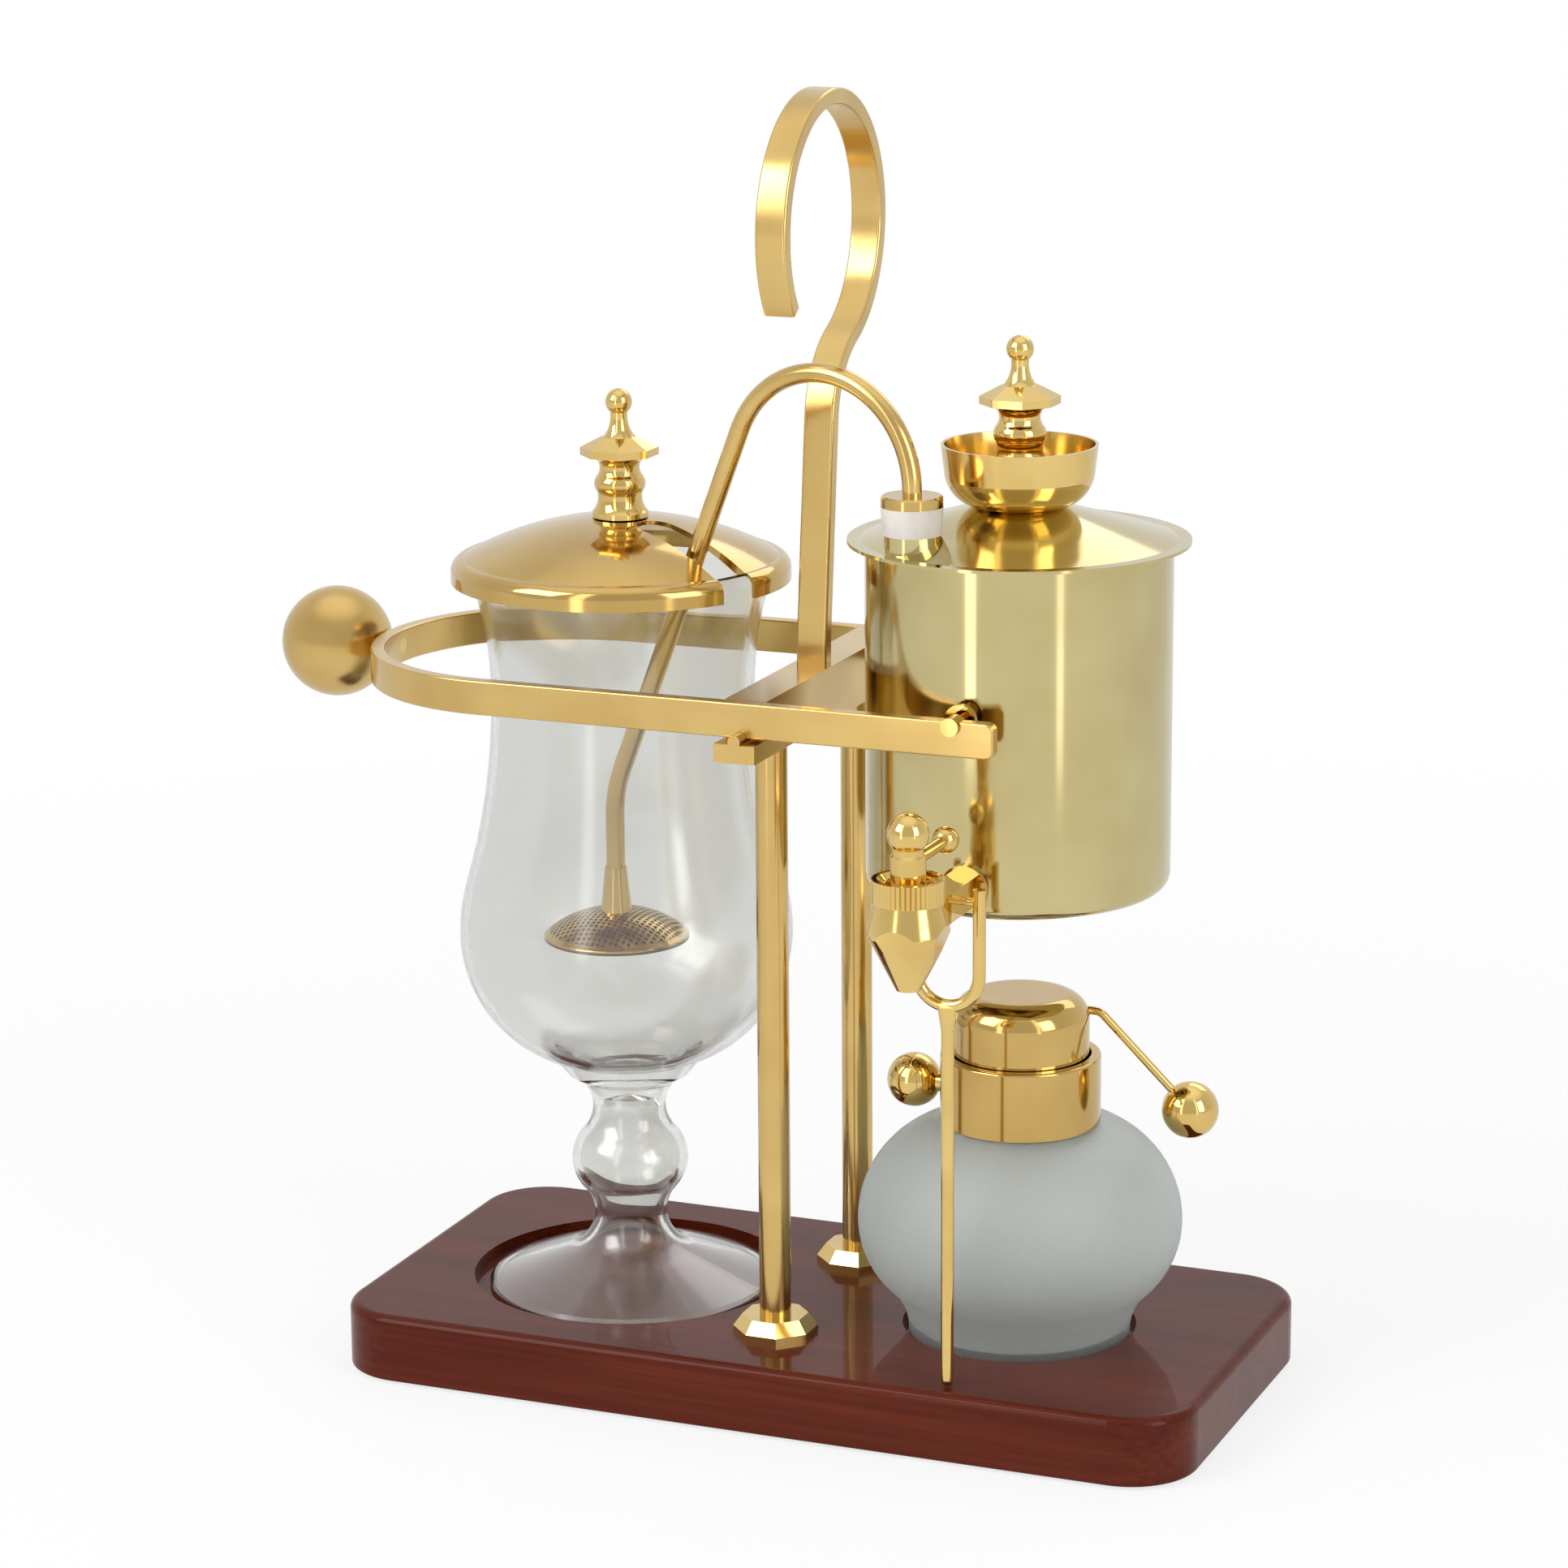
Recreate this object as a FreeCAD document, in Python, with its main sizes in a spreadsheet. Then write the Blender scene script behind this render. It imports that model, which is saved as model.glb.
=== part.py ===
import FreeCAD, Part
import math
import os
import re
import Sketcher

# Balance siphon coffee maker: a boiler hung on a balance arm beside a glass goblet, over a spirit burner.
# Millimetres and degrees. The origin is the centre of the pad under the board, +Z is up, +X runs from the
# goblet to the boiler, and the tap is on the -Y side.

SIZES = {
    # board
    "board_length": 285.0,
    "board_width": 140.0,
    "board_thick": 21.7,
    "board_corner": 22.0,
    "board_round": 3.0,
    "board_ease": 1.0,
    "pad_thick": 1.0,
    "pad_inset": 8.0,
    "recess_depth": 3.5,
    "goblet_room": 5.0,
    "burner_room": 2.0,
    "goblet_x": -66.5,
    "burner_x": 68.0,
    # columns
    "column_x": -1.0,
    "column_y": 35.5,
    "column_r": 5.0,
    "column_height": 190.8,
    "collar_r": 13.4,
    "collar_edge": 1.8,
    "collar_height": 5.8,
    "collar_top_r": 10.4,
    "screw_r": 2.5,
    "screw_grip": 16.0,
    "screw_head_r": 4.6,
    "screw_head": 3.0,
    "washer_r": 6.5,
    "washer_thick": 1.2,
    "screw_slack": 0.3,
    "sink_depth": 6.0,
    "stud_grip": 9.0,
    # crossbar
    "bar_width": 13.4,
    "bar_height": 17.5,
    "bar_over": 5.0,
    "pivot_r": 2.0,
    "pivot_seat": 6.0,
    # carrying hook
    "hook_width": 10.0,
    "hook_thick": 5.0,
    "hook_round": 0.8,
    "hook_seat": 6.0,
    "hook_start": 3.0,
    "hook_lean": 5.9,
    "lean_r": 60.0,
    "sway_r": 30.0,
    "loop_r": 39.5,
    "loop_y": 8.4,
    "loop_rise": 136.0,
    "hook_tail": 34.0,
    "hook_screw_r": 1.5,
    "hook_screw_grip": 7.0,
    # balance arm
    "arm_thick": 4.5,
    "arm_height": 10.8,
    "arm_bend_x": -88.6,
    "arm_tip_x": 80.0,
    "arm_round": 0.6,
    "arm_corner": 2.5,
    "arm_gap": 0.4,
    "arm_rock": 1.0,
    "run_fit": 0.05,
    "ball_r": 17.9,
    "ball_wall": 2.0,
    "ball_gap": 1.5,
    "ball_stud_r": 2.5,
    "ball_stud_grip": 6.0,
    "ball_neck_r": 4.5,
    # boiler
    "boiler_x": 66.7,
    "boiler_r": 47.2,
    "boiler_wall": 1.0,
    "boiler_height": 109.0,
    "boiler_round": 5.0,
    "boiler_drop": 63.0,
    "rim_over": 5.4,
    "rim_flat": 4.0,
    "top_rise": 10.0,
    "trunnion_drop": 1.5,
    "trunnion_r": 2.8,
    "trunnion_neck_r": 1.6,
    "trunnion_root_r": 3.6,
    "trunnion_disc_r": 4.9,
    "trunnion_disc": 2.0,
    "trunnion_stand": 3.0,
    "trunnion_head": 1.5,
    "trunnion_neck": 3.3,
    # filling funnel and its plug
    "funnel_foot_r": 14.0,
    "funnel_r": 24.0,
    "funnel_belly_r": 22.8,
    "funnel_belly": 9.0,
    "funnel_height": 19.0,
    "funnel_floor": 2.2,
    "funnel_wall": 1.0,
    "funnel_round": 12.0,
    "throat_r": 6.0,
    "spigot_r": 9.0,
    "spigot_drop": 8.0,
    "plug_lift": 8.0,
    "plug_gap": 0.3,
    "seal_thick": 1.5,
    # turned finials
    "finial_foot_r": 8.9,
    "finial_foot": 1.6,
    "finial_cove": 6.6,
    "finial_step": 2.0,
    "finial_waist_r": 6.3,
    "finial_bead_r": 8.1,
    "finial_bead_z": 10.5,
    "finial_bead": 2.5,
    "finial_flange_r": 12.4,
    "finial_flange": 2.4,
    "finial_flange_z": 19.6,
    "finial_cone": 3.4,
    "finial_ledge": 0.7,
    "finial_flare_r": 5.0,
    "finial_neck_r": 2.7,
    "finial_ball_r": 4.2,
    "finial_height": 40.5,
    # tap
    "tap_reach": 48.0,
    "tap_z": 10.5,
    "tap_bar": 9.0,
    "tap_bore_r": 2.5,
    "tap_spigot_r": 4.0,
    "tap_ring_r": 7.2,
    "tap_ring": 2.0,
    "bulb_r": 12.6,
    "bulb_top_r": 10.2,
    "bulb_top": 8.0,
    "bulb_low": 1.4,
    "bulb_ease": 2.5,
    "facet_r": 10.9,
    "facet_slope": 0.307,
    "spout_r": 3.65,
    "spout_drop": 18.8,
    "spout_bore_r": 1.8,
    "key_r": 5.3,
    "key_deep": 5.5,
    "key_neck": 21.5,
    "key_taper": 0.8,
    "key_ball_z": 28.3,
    "key_ball_r": 6.3,
    "key_neck_r": 4.6,
    "nut_r": 10.9,
    "nut_height": 7.0,
    "nut_dish_r": 9.2,
    "nut_dish": 1.5,
    "nut_grooves": 44.0,
    "nut_groove": 0.35,
    "lever_z": 19.0,
    "lever_r": 2.0,
    "lever_reach": 31.0,
    "lever_sink": 2.5,
    "lever_ball_r": 4.1,
    # prop
    "prop_y": -62.0,
    "prop_r": 2.0,
    "prop_spread": 10.0,
    "prop_crotch": 31.0,
    "prop_top": 4.0,
    "prop_pin_r": 1.2,
    "prop_pin_deep": 1.8,
    "prop_clear": 0.3,
    "prop_web": 8.0,
    "prop_web_r": 3.2,
    # siphon
    "siphon_side": 22.4,
    "siphon_inset": 7.315,
    "tube_r": 3.0,
    "tube_bore_r": 2.2,
    "arch_r": 33.0,
    "arch_rise": 1.0,
    "tube_slant": 22.6,
    "tube_bend_r": 40.0,
    "dip_gap": 6.0,
    "neck_r": 8.5,
    "neck_wall": 1.5,
    "neck_stand": 5.5,
    "neck_clear": 0.2,
    "stopper_top_r": 9.5,
    "stopper_foot_r": 8.9,
    "stopper_height": 8.5,
    "stopper_plug": 4.5,
    "stopper_gap": 0.3,
    "stopper_taper": 0.5,
    "cap_r": 9.4,
    "cap_thick": 3.4,
    "cap_ease": 0.6,
    # filter
    "filter_rise": 116.0,
    "filter_y": -7.64,
    "filter_r": 23.2,
    "filter_dome": 8.0,
    "filter_flat_r": 5.5,
    "filter_crown": 30.0,
    "filter_sheet": 0.8,
    "filter_hole_r": 0.8,
    "filter_ring": 4.0,
    "ferrule_r": 5.0,
    "ferrule_top_r": 3.5,
    "ferrule_height": 14.5,
    "ferrule_grip": 10.0,
    # goblet
    "foot_r": 46.4,
    "foot_edge": 2.6,
    "foot_slope": 20.0,
    "stem_r": 11.8,
    "low_stem_z": 24.3,
    "knop_z": 42.5,
    "knop_r": 18.8,
    "knop_round": 14.2,
    "high_stem_z": 60.4,
    "stem_flare": 20.0,
    "stem_hollow": 7.0,
    "bowl_start_r": 24.8,
    "bowl_z": 118.8,
    "bowl_r": 53.5,
    "bowl_low": 43.5,
    "bowl_high": 60.0,
    "waist_z": 198.8,
    "waist_in": 11.6,
    "mouth_z": 240.8,
    "mouth_in": 4.0,
    "glass": 2.6,
    # goblet lid
    "lid_over": 4.3,
    "lid_sheet": 1.0,
    "lid_skirt": 6.5,
    "lid_round": 4.0,
    "lid_rise": 12.5,
    "lid_seat": 6.8,
    "slot_turn": 23.0,
    "slot_width": 13.0,
    "slot_start": 17.0,
    "finial_stud_r": 2.5,
    "finial_stud": 7.0,
    "nut_flats": 4.5,
    "lid_nut_thick": 3.5,
    # burner
    "jar_foot_r": 35.0,
    "jar_foot": 1.8,
    "jar_r": 51.1,
    "jar_z": 38.3,
    "jar_low": 28.4,
    "jar_high": 33.0,
    "jar_neck_r": 21.5,
    "jar_mouth": 13.0,
    "jar_floor": 3.0,
    "head_r": 25.2,
    "head_wall": 3.0,
    "head_ease": 0.8,
    "head_gap": 0.5,
    "head_height": 21.8,
    "head_deck": 2.0,
    "deck_drop": 4.0,
    "head_fit": 0.1,
    "wick_tube_r": 4.5,
    "wick_tube_wall": 0.6,
    "wick_tube_up": 6.0,
    "wick_tube_down": 8.0,
    "wick_up": 2.5,
    "wick_drop": 70.0,
    "wick_ease": 1.0,
    "cap_side_r": 21.5,
    "cap_wall": 1.0,
    "cap_height": 23.2,
    "cap_round": 8.0,
    "hinge_y": 28.5,
    "hinge_up": 0.6,
    "knuckle_r": 2.4,
    "knuckle_width": 8.0,
    "ear_thick": 2.0,
    "ear_gap": 0.3,
    "pin_r": 1.0,
    "tongue": 1.5,
    "rim_gap": 0.6,
    "rod_r": 1.3,
    "rod_y": 10.0,
    "rod_drop": 6.5,
    "rod_start": 4.0,
    "rod_bend_r": 4.0,
    "rod_angle": 44.0,
    "rod_ball_x": 52.5,
    "rod_ball_r": 8.9,
    "knob_r": 8.6,
    "knob_x": 35.5,
    "knob_drop": 13.0,
    "knob_stub_r": 3.0,
    "knob_grip": 2.2,
}

# sizes that follow from the ones above
FOLLOWING = {
    "rim_r": "boiler_r + rim_over",
    "cone_r": "rim_r - rim_flat",
    "arm_inner": "boiler_r + trunnion_stand + trunnion_disc + trunnion_neck",
    "arm_spread": "arm_inner + arm_thick",
    "bar_length": "2 * (arm_spread + bar_over)",
    "waist_r": "bowl_r - waist_in",
    "mouth_r": "bowl_r - mouth_in",
    "lid_r": "mouth_r + lid_over",
    "board_top": "pad_thick + board_thick",
    "recess_floor": "board_top - recess_depth",
    "bar_bottom": "board_top + column_height",
    "bar_top": "bar_bottom + bar_height",
    "arm_bottom": "bar_top - arm_height",
    "shoulder_y": "arm_inner - arm_gap",
    "lip_top": "arm_bottom - arm_rock",
    "arm_mid": "bar_top - arm_height / 2",
    "ball_x": "arm_bend_x - arm_spread - ball_gap - ball_r",
    "trunnion_z": "bar_top - trunnion_drop",
    "boiler_base": "trunnion_z - boiler_drop",
    "top_slope": "top_rise / (cone_r - funnel_foot_r)",
    "funnel_z": "boiler_height + top_rise",
    "plug_z": "funnel_z + funnel_floor + seal_thick + plug_lift",
    "tap_y": "-(boiler_r + tap_reach)",
    "tap_height": "boiler_base + tap_z",
    "nut_top": "bulb_top + nut_height",
    "cup_r": "key_r + run_fit",
    "siphon_out": "boiler_r - siphon_inset",
    "siphon_x": "boiler_x - siphon_side",
    "siphon_y": "-sqrt(siphon_out^2 - siphon_side^2)",
    "filter_x": "goblet_x",
    "siphon_reach": "sqrt((siphon_x - filter_x)^2 + (siphon_y - filter_y)^2)",
    "neck_z": "boiler_height + top_slope * (cone_r - siphon_out)",
    "neck_top": "boiler_base + neck_z + neck_stand - top_slope * neck_r",
    "shell_top": "boiler_height - boiler_wall + top_slope * (cone_r - boiler_r + boiler_wall)",
    "neck_length": "neck_top - boiler_base - shell_top - neck_clear",
    "cap_z": "neck_top + stopper_height",
    "arch_z": "cap_z + cap_thick + arch_rise",
    "filter_z": "board_top + filter_rise",
    "filter_top": "filter_z + filter_dome",
    "knop_in": "knop_r - knop_round",
    "stem_in": "stem_r - knop_in",
    "low_span": "knop_z - low_stem_z",
    "high_span": "high_stem_z - knop_z",
    "low_stem_round": "(stem_in^2 + low_span^2 - knop_round^2) / (2 * (knop_round - stem_in))",
    "high_stem_round": "(stem_in^2 + high_span^2 - knop_round^2) / (2 * (knop_round - stem_in))",
    "low_share": "knop_round / (knop_round + low_stem_round)",
    "high_share": "knop_round / (knop_round + high_stem_round)",
    "low_inner_share": "(knop_round - glass) / (knop_round + low_stem_round)",
    "high_inner_share": "(knop_round - glass) / (knop_round + high_stem_round)",
    "bowl_in": "bowl_r - bowl_low",
    "bowl_top_in": "bowl_r - bowl_high",
    "waist_span": "waist_z - bowl_z",
    "waist_out": "waist_r - bowl_top_in",
    "waist_round": "(waist_out^2 + waist_span^2 - bowl_high^2) / (2 * (bowl_high - waist_out))",
    "waist_share": "bowl_high / (bowl_high + waist_round)",
    "waist_inner_share": "(bowl_high - glass) / (bowl_high + waist_round)",
    "mouth_span": "mouth_z - waist_z",
    "mouth_out": "mouth_r - waist_r",
    "mouth_round": "(mouth_out^2 + mouth_span^2) / (2 * mouth_out)",
    "mouth_inner": "waist_r + mouth_round - sqrt((mouth_round + glass)^2 - mouth_span^2)",
    "lid_z": "recess_floor + mouth_z",
    "lid_crown": "((lid_r - lid_round)^2 + lid_rise^2) / (2 * lid_rise)",
    "lid_flat_r": "lid_r - lid_sheet - lid_seat",
    "lid_top": "lid_z + lid_sheet + lid_rise",
    "jar_low_in": "jar_r - jar_low",
    "jar_high_in": "jar_r - jar_high",
    "jar_span": "jar_z - jar_foot",
    "jar_out": "jar_foot_r - jar_low_in",
    "jar_foot_round": "(jar_out^2 + jar_span^2 - jar_low^2) / (2 * (jar_low - jar_out))",
    "jar_share": "jar_low / (jar_low + jar_foot_round)",
    "jar_inner_share": "(jar_low - glass) / (jar_low + jar_foot_round)",
    "jar_shoulder": "jar_z + sqrt(jar_high^2 - (head_r - jar_high_in)^2)",
    "head_z": "jar_shoulder + head_gap",
    "head_top": "head_z + head_height",
    "deck_top": "head_top - deck_drop",
    "cap_top": "deck_top + cap_height",
    "hinge_z": "head_top - hinge_up",
    "tongue_z": "head_top + rim_gap",
    "rod_z": "cap_top - rod_drop",
    "knob_z": "head_top - knob_drop",
}

doc = FreeCAD.newDocument("siphon_coffee_maker")
sheet = doc.addObject("Spreadsheet::Sheet", "Sizes")
NODES = []


def fill_sheet():
    """Writes each driving size and each following size into the sheet, with its name as alias."""
    rows = list(SIZES.items()) + [(name, "=" + text) for name, text in FOLLOWING.items()]
    for row, (name, content) in enumerate(rows, start=1):
        sheet.set(f"A{row}", name)
        sheet.setAlias(f"B{row}", name)
        sheet.set(f"B{row}", str(content))
    doc.recompute()


def bound(text):
    """Returns the expression with each size's name as a reference to the sheet."""
    return re.sub(r"[a-z]\w*", lambda word: sheet_name(word.group()), text)


def sheet_name(word):
    """Returns the reference to a size, or the word itself where it is a function."""
    return f"Sizes.{word}" if word in SIZES or word in FOLLOWING else word


def value(text):
    """Returns an expression's value now."""
    return float(sheet.evalExpression(bound(text)))


def node(piece, name):
    """Gives a piece its name and lists it as a sub-part."""
    piece.Label = name
    NODES.append(piece)
    return piece


def place(piece, x="0", y="0", z="0"):
    """Ties a piece's place to the sheet."""
    for axis, text in zip("xyz", (x, y, z)):
        piece.setExpression(f"Placement.Base.{axis}", bound(text))


def new_body(name, x="0", y="0", z="0", listed=True):
    """Starts a body at a place tied to the sheet."""
    body = doc.addObject("PartDesign::Body", name)
    place(body, x, y, z)
    return node(body, name) if listed else body


def new_sketch(body, plane, offset="0"):
    """Starts a sketch on one of the body's own planes, moved along the plane's normal."""
    sketch = body.newObject("Sketcher::SketchObject", body.Name + "_sketch")
    support = [item for item in body.Origin.OriginFeatures if item.Role == plane][0]
    sketch.AttachmentSupport = [(support, "")]
    sketch.MapMode = "FlatFace"
    sketch.setExpression("AttachmentOffset.Base.z", bound(offset))
    return sketch


def hold_point(sketch, geometry, position, u, v):
    """Holds one point of a sketch at u, v with constraints tied to the sheet."""
    for kind, axis, text in (("DistanceX", -2, u), ("DistanceY", -1, v)):
        size = value(text)
        if abs(size) < 1e-9:
            sketch.addConstraint(Sketcher.Constraint("PointOnObject", geometry, position, axis))
        elif size > 0:
            index = sketch.addConstraint(Sketcher.Constraint(kind, -1, 1, geometry, position, size))
            sketch.setExpression(f"Constraints[{index}]", bound(text))
        else:
            index = sketch.addConstraint(Sketcher.Constraint(kind, geometry, position, -1, 1, -size))
            sketch.setExpression(f"Constraints[{index}]", bound(f"-({text})"))


def draw(sketch, corners):
    """Draws a closed outline through corners of (u, v) or (u, v, radius).

    A side that leaves a corner with a radius is an arc of under half a turn, anticlockwise where the radius is
    positive and clockwise where it is negative.
    """
    points = [FreeCAD.Vector(value(corner[0]), value(corner[1]), 0) for corner in corners]
    ends = []
    for corner, start, end in zip(corners, points, points[1:] + points[:1]):
        if len(corner) == 2:
            ends.append((sketch.addGeometry(Part.LineSegment(start, end), False), 1, 2))
            continue
        radius = value(corner[2])
        across = end - start
        rise = math.sqrt(radius**2 - across.Length**2 / 4)
        left = FreeCAD.Vector(-across.y, across.x, 0).normalize()
        centre = (start + end) / 2 + left * math.copysign(rise, radius)
        first, last = (start, end) if radius > 0 else (end, start)
        begin = math.atan2(first.y - centre.y, first.x - centre.x)
        finish = math.atan2(last.y - centre.y, last.x - centre.x)
        circle = Part.Circle(centre, FreeCAD.Vector(0, 0, 1), abs(radius))
        bend = sketch.addGeometry(Part.ArcOfCircle(circle, begin, finish), False)
        ends.append((bend, 1, 2) if radius > 0 else (bend, 2, 1))
    for corner, side, following in zip(corners, ends, ends[1:] + ends[:1]):
        sketch.addConstraint(Sketcher.Constraint("Coincident", side[0], side[2], following[0], following[1]))
        hold_point(sketch, side[0], side[1], corner[0], corner[1])
        if len(corner) == 3:
            index = sketch.addConstraint(Sketcher.Constraint("Radius", side[0], abs(value(corner[2]))))
            sketch.setExpression(f"Constraints[{index}]", bound(f"abs({corner[2]})"))


def draw_circle(sketch, u, v, radius):
    """Draws a circle tied to the sheet."""
    centre = FreeCAD.Vector(value(u), value(v), 0)
    circle = sketch.addGeometry(Part.Circle(centre, FreeCAD.Vector(0, 0, 1), value(radius)), False)
    hold_point(sketch, circle, 3, u, v)
    index = sketch.addConstraint(Sketcher.Constraint("Radius", circle, value(radius)))
    sketch.setExpression(f"Constraints[{index}]", bound(radius))


def turn(body, corners):
    """Turns an outline of radius and height about the body's own vertical axis."""
    sketch = new_sketch(body, "XZ_Plane")
    draw(sketch, corners)
    feature = body.newObject("PartDesign::Revolution", body.Name + "_turn")
    feature.Profile = sketch
    feature.ReferenceAxis = (sketch, ["V_Axis"])
    feature.Angle = 360
    return feature


def pad(body, plane, corners, length, offset="0", both_ways=False):
    """Pads an outline along the plane's normal, or half each way."""
    sketch = new_sketch(body, plane, offset)
    draw(sketch, corners)
    feature = body.newObject("PartDesign::Pad", body.Name + "_pad")
    feature.Profile = sketch
    feature.SideType = "Symmetric" if both_ways else "One side"
    feature.setExpression("Length", bound(length))
    return feature


def pocket(body, sketch, length="", forward=False):
    """Cuts a sketch out against its normal: to a depth, or right through both ways where none is given."""
    before = body.Tip
    feature = body.newObject("PartDesign::Pocket", body.Name + "_pocket")
    feature.Profile = sketch
    feature.Reversed = forward
    if length:
        feature.setExpression("Length", bound(length))
    else:
        feature.Type = "ThroughAll"
        feature.SideType = "Symmetric"
    doc.recompute()
    if feature.Shape.Volume > before.Shape.Volume - 1e-6:
        raise RuntimeError(f"{feature.Name} cuts nothing")
    return feature


def bore(body, plane, u, v, radius, length="", offset="0", forward=False):
    """Cuts a round hole."""
    sketch = new_sketch(body, plane, offset)
    draw_circle(sketch, u, v, radius)
    return pocket(body, sketch, length, forward)


def carve(body, plane, corners, length="", offset="0", forward=False):
    """Cuts an outline out."""
    sketch = new_sketch(body, plane, offset)
    draw(sketch, corners)
    return pocket(body, sketch, length, forward)


def spread(body, feature, count):
    """Repeats a cut evenly about the body's vertical axis."""
    axis = [item for item in body.Origin.OriginFeatures if item.Role == "Z_Axis"][0]
    pattern = body.newObject("PartDesign::PolarPattern", body.Name + "_pattern")
    pattern.Originals = [feature]
    pattern.Axis = (axis, [""])
    pattern.Angle = 360
    pattern.Occurrences = round(value(count))
    body.Tip = pattern
    return pattern


def ease(body, radius, chosen):
    """Rounds those edges of the body so far that the test chooses."""
    doc.recompute()
    base = body.Tip
    edges = [f"Edge{n}" for n, edge in enumerate(base.Shape.Edges, start=1) if chosen(edge.BoundBox)]
    feature = body.newObject("PartDesign::Fillet", body.Name + "_round")
    feature.Base = (base, edges)
    feature.setExpression("Radius", bound(radius))
    return feature


def level(height):
    """Returns a test for edges that lie flat at a height."""
    return lambda box: abs(box.ZMin - height) < 1e-4 and abs(box.ZMax - height) < 1e-4


def shaped(name, shape):
    """Lists a piece whose shape is worked out from the sheet's values."""
    piece = doc.addObject("Part::Feature", name)
    piece.Shape = shape
    return node(piece, name)


def pair(name, body):
    """Lists a body and its mirror image across the middle plane as one node."""
    twin = doc.addObject("Part::Mirroring", name + "_twin")
    twin.Source = body
    twin.Normal = FreeCAD.Vector(0, 1, 0)
    group = doc.addObject("Part::Compound", name)
    group.Links = [body, twin]
    return node(group, name)


def octagon(radius):
    """Returns the corners of an octagon with flats square to X and Y."""
    return [(f"{radius} * cos({22.5 + 45 * k})", f"{radius} * sin({22.5 + 45 * k})") for k in range(8)]


def taper(body, low_z, low_r, high_z, high_r):
    """Adds a straight-sided octagonal taper between two heights."""
    low = new_sketch(body, "XY_Plane", low_z)
    draw(low, octagon(low_r))
    high = new_sketch(body, "XY_Plane", high_z)
    draw(high, octagon(high_r))
    loft = body.newObject("PartDesign::AdditiveLoft", body.Name + "_taper")
    loft.Profile = low
    loft.Sections = [high]
    loft.Ruled = True
    return loft


def plate(length, width, corner):
    """Returns the corners of a rectangle with rounded corners, about the origin."""
    x, y = f"({length}) / 2", f"({width}) / 2"
    return [
        (f"-{x} + {corner}", f"-{y}"), (f"{x} - {corner}", f"-{y}", corner),
        (x, f"-{y} + {corner}"), (x, f"{y} - {corner}", corner),
        (f"{x} - {corner}", y), (f"-{x} + {corner}", y, corner),
        (f"-{x}", f"{y} - {corner}"), (f"-{x}", f"-{y} + {corner}", corner),
    ]


def rod(points, radius):
    """Returns a round rod along edges that meet tangentially."""
    start = points[0]
    spine = Part.Wire(points)
    first = start.valueAt(start.FirstParameter)
    ring = Part.Wire(Part.makeCircle(radius, first, start.tangentAt(start.FirstParameter)))
    return spine.makePipeShell([ring], True, False)


def line(start, end):
    """Returns a straight edge."""
    return Part.LineSegment(start, end).toShape()


def arc(start, middle, end):
    """Returns a round edge through three points."""
    return Part.Arc(start, middle, end).toShape()


def make_board():
    """The lacquered board with its recesses and screw holes, and the rubber pad under it."""
    board = new_body("base_board", z="pad_thick")
    pad(board, "XY_Plane", plate("board_length", "board_width", "board_corner"), "board_thick")
    ease(board, "board_round", level(value("board_thick")))
    ease(board, "board_ease", level(0))
    bore(board, "XY_Plane", "goblet_x", "0", "foot_r + goblet_room", "recess_depth", "board_thick")
    bore(board, "XY_Plane", "burner_x", "0", "jar_foot_r + burner_room", "recess_depth", "board_thick")
    for side in ("column_y", "-column_y"):
        bore(board, "XY_Plane", "column_x", side, "screw_r + screw_slack")
        bore(board, "XY_Plane", "column_x", side, "washer_r + screw_slack", "sink_depth", forward=True)
    foot_pad = new_body("base_pad")
    sheet_outline = plate("(board_length - 2 * pad_inset)", "(board_width - 2 * pad_inset)", "board_corner")
    pad(foot_pad, "XY_Plane", sheet_outline, "pad_thick")


def make_column(name, side):
    """A brass column with a threaded hole at each end, and its bevelled foot collar."""
    column = new_body("column_" + name, "column_x", side, "board_top")
    turn(column, [
        ("screw_r", "0"), ("column_r", "0"), ("column_r", "column_height"), ("screw_r", "column_height"),
        ("screw_r", "column_height - stud_grip"), ("0", "column_height - stud_grip"), ("0", "screw_grip"),
        ("screw_r", "screw_grip"),
    ])
    collar = new_body("foot_collar_" + name, "column_x", side, "board_top")
    pad(collar, "XY_Plane", octagon("collar_r"), "collar_edge")
    taper(collar, "collar_edge", "collar_r", "collar_height", "collar_top_r")
    bore(collar, "XY_Plane", "0", "0", "column_r")


def make_fixings():
    """Screws and washers below the columns, and studs between columns and crossbar."""
    seat = "pad_thick + sink_depth"
    washer = new_body("column_washer", "column_x", "-column_y", f"{seat} - washer_thick", listed=False)
    turn(washer, [
        ("screw_r + screw_slack", "0"), ("washer_r", "0"), ("washer_r", "washer_thick"),
        ("screw_r + screw_slack", "washer_thick"),
    ])
    pair("column_washers", washer)
    screw = new_body("column_screw", "column_x", "-column_y", f"{seat} - washer_thick - screw_head", listed=False)
    length = "board_thick - sink_depth + washer_thick + screw_head + screw_grip - screw_slack"
    turn(screw, [
        ("0", "0"), ("screw_head_r", "0"), ("screw_head_r", "screw_head"), ("screw_r", "screw_head"),
        ("screw_r", length), ("0", length),
    ])
    pair("column_screws", screw)
    stud = new_body("crossbar_stud", "column_x", "-column_y", "bar_bottom - stud_grip", listed=False)
    turn(stud, [("0", "0"), ("screw_r", "0"), ("screw_r", "2 * stud_grip"), ("0", "2 * stud_grip")])
    pair("crossbar_studs", stud)


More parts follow.
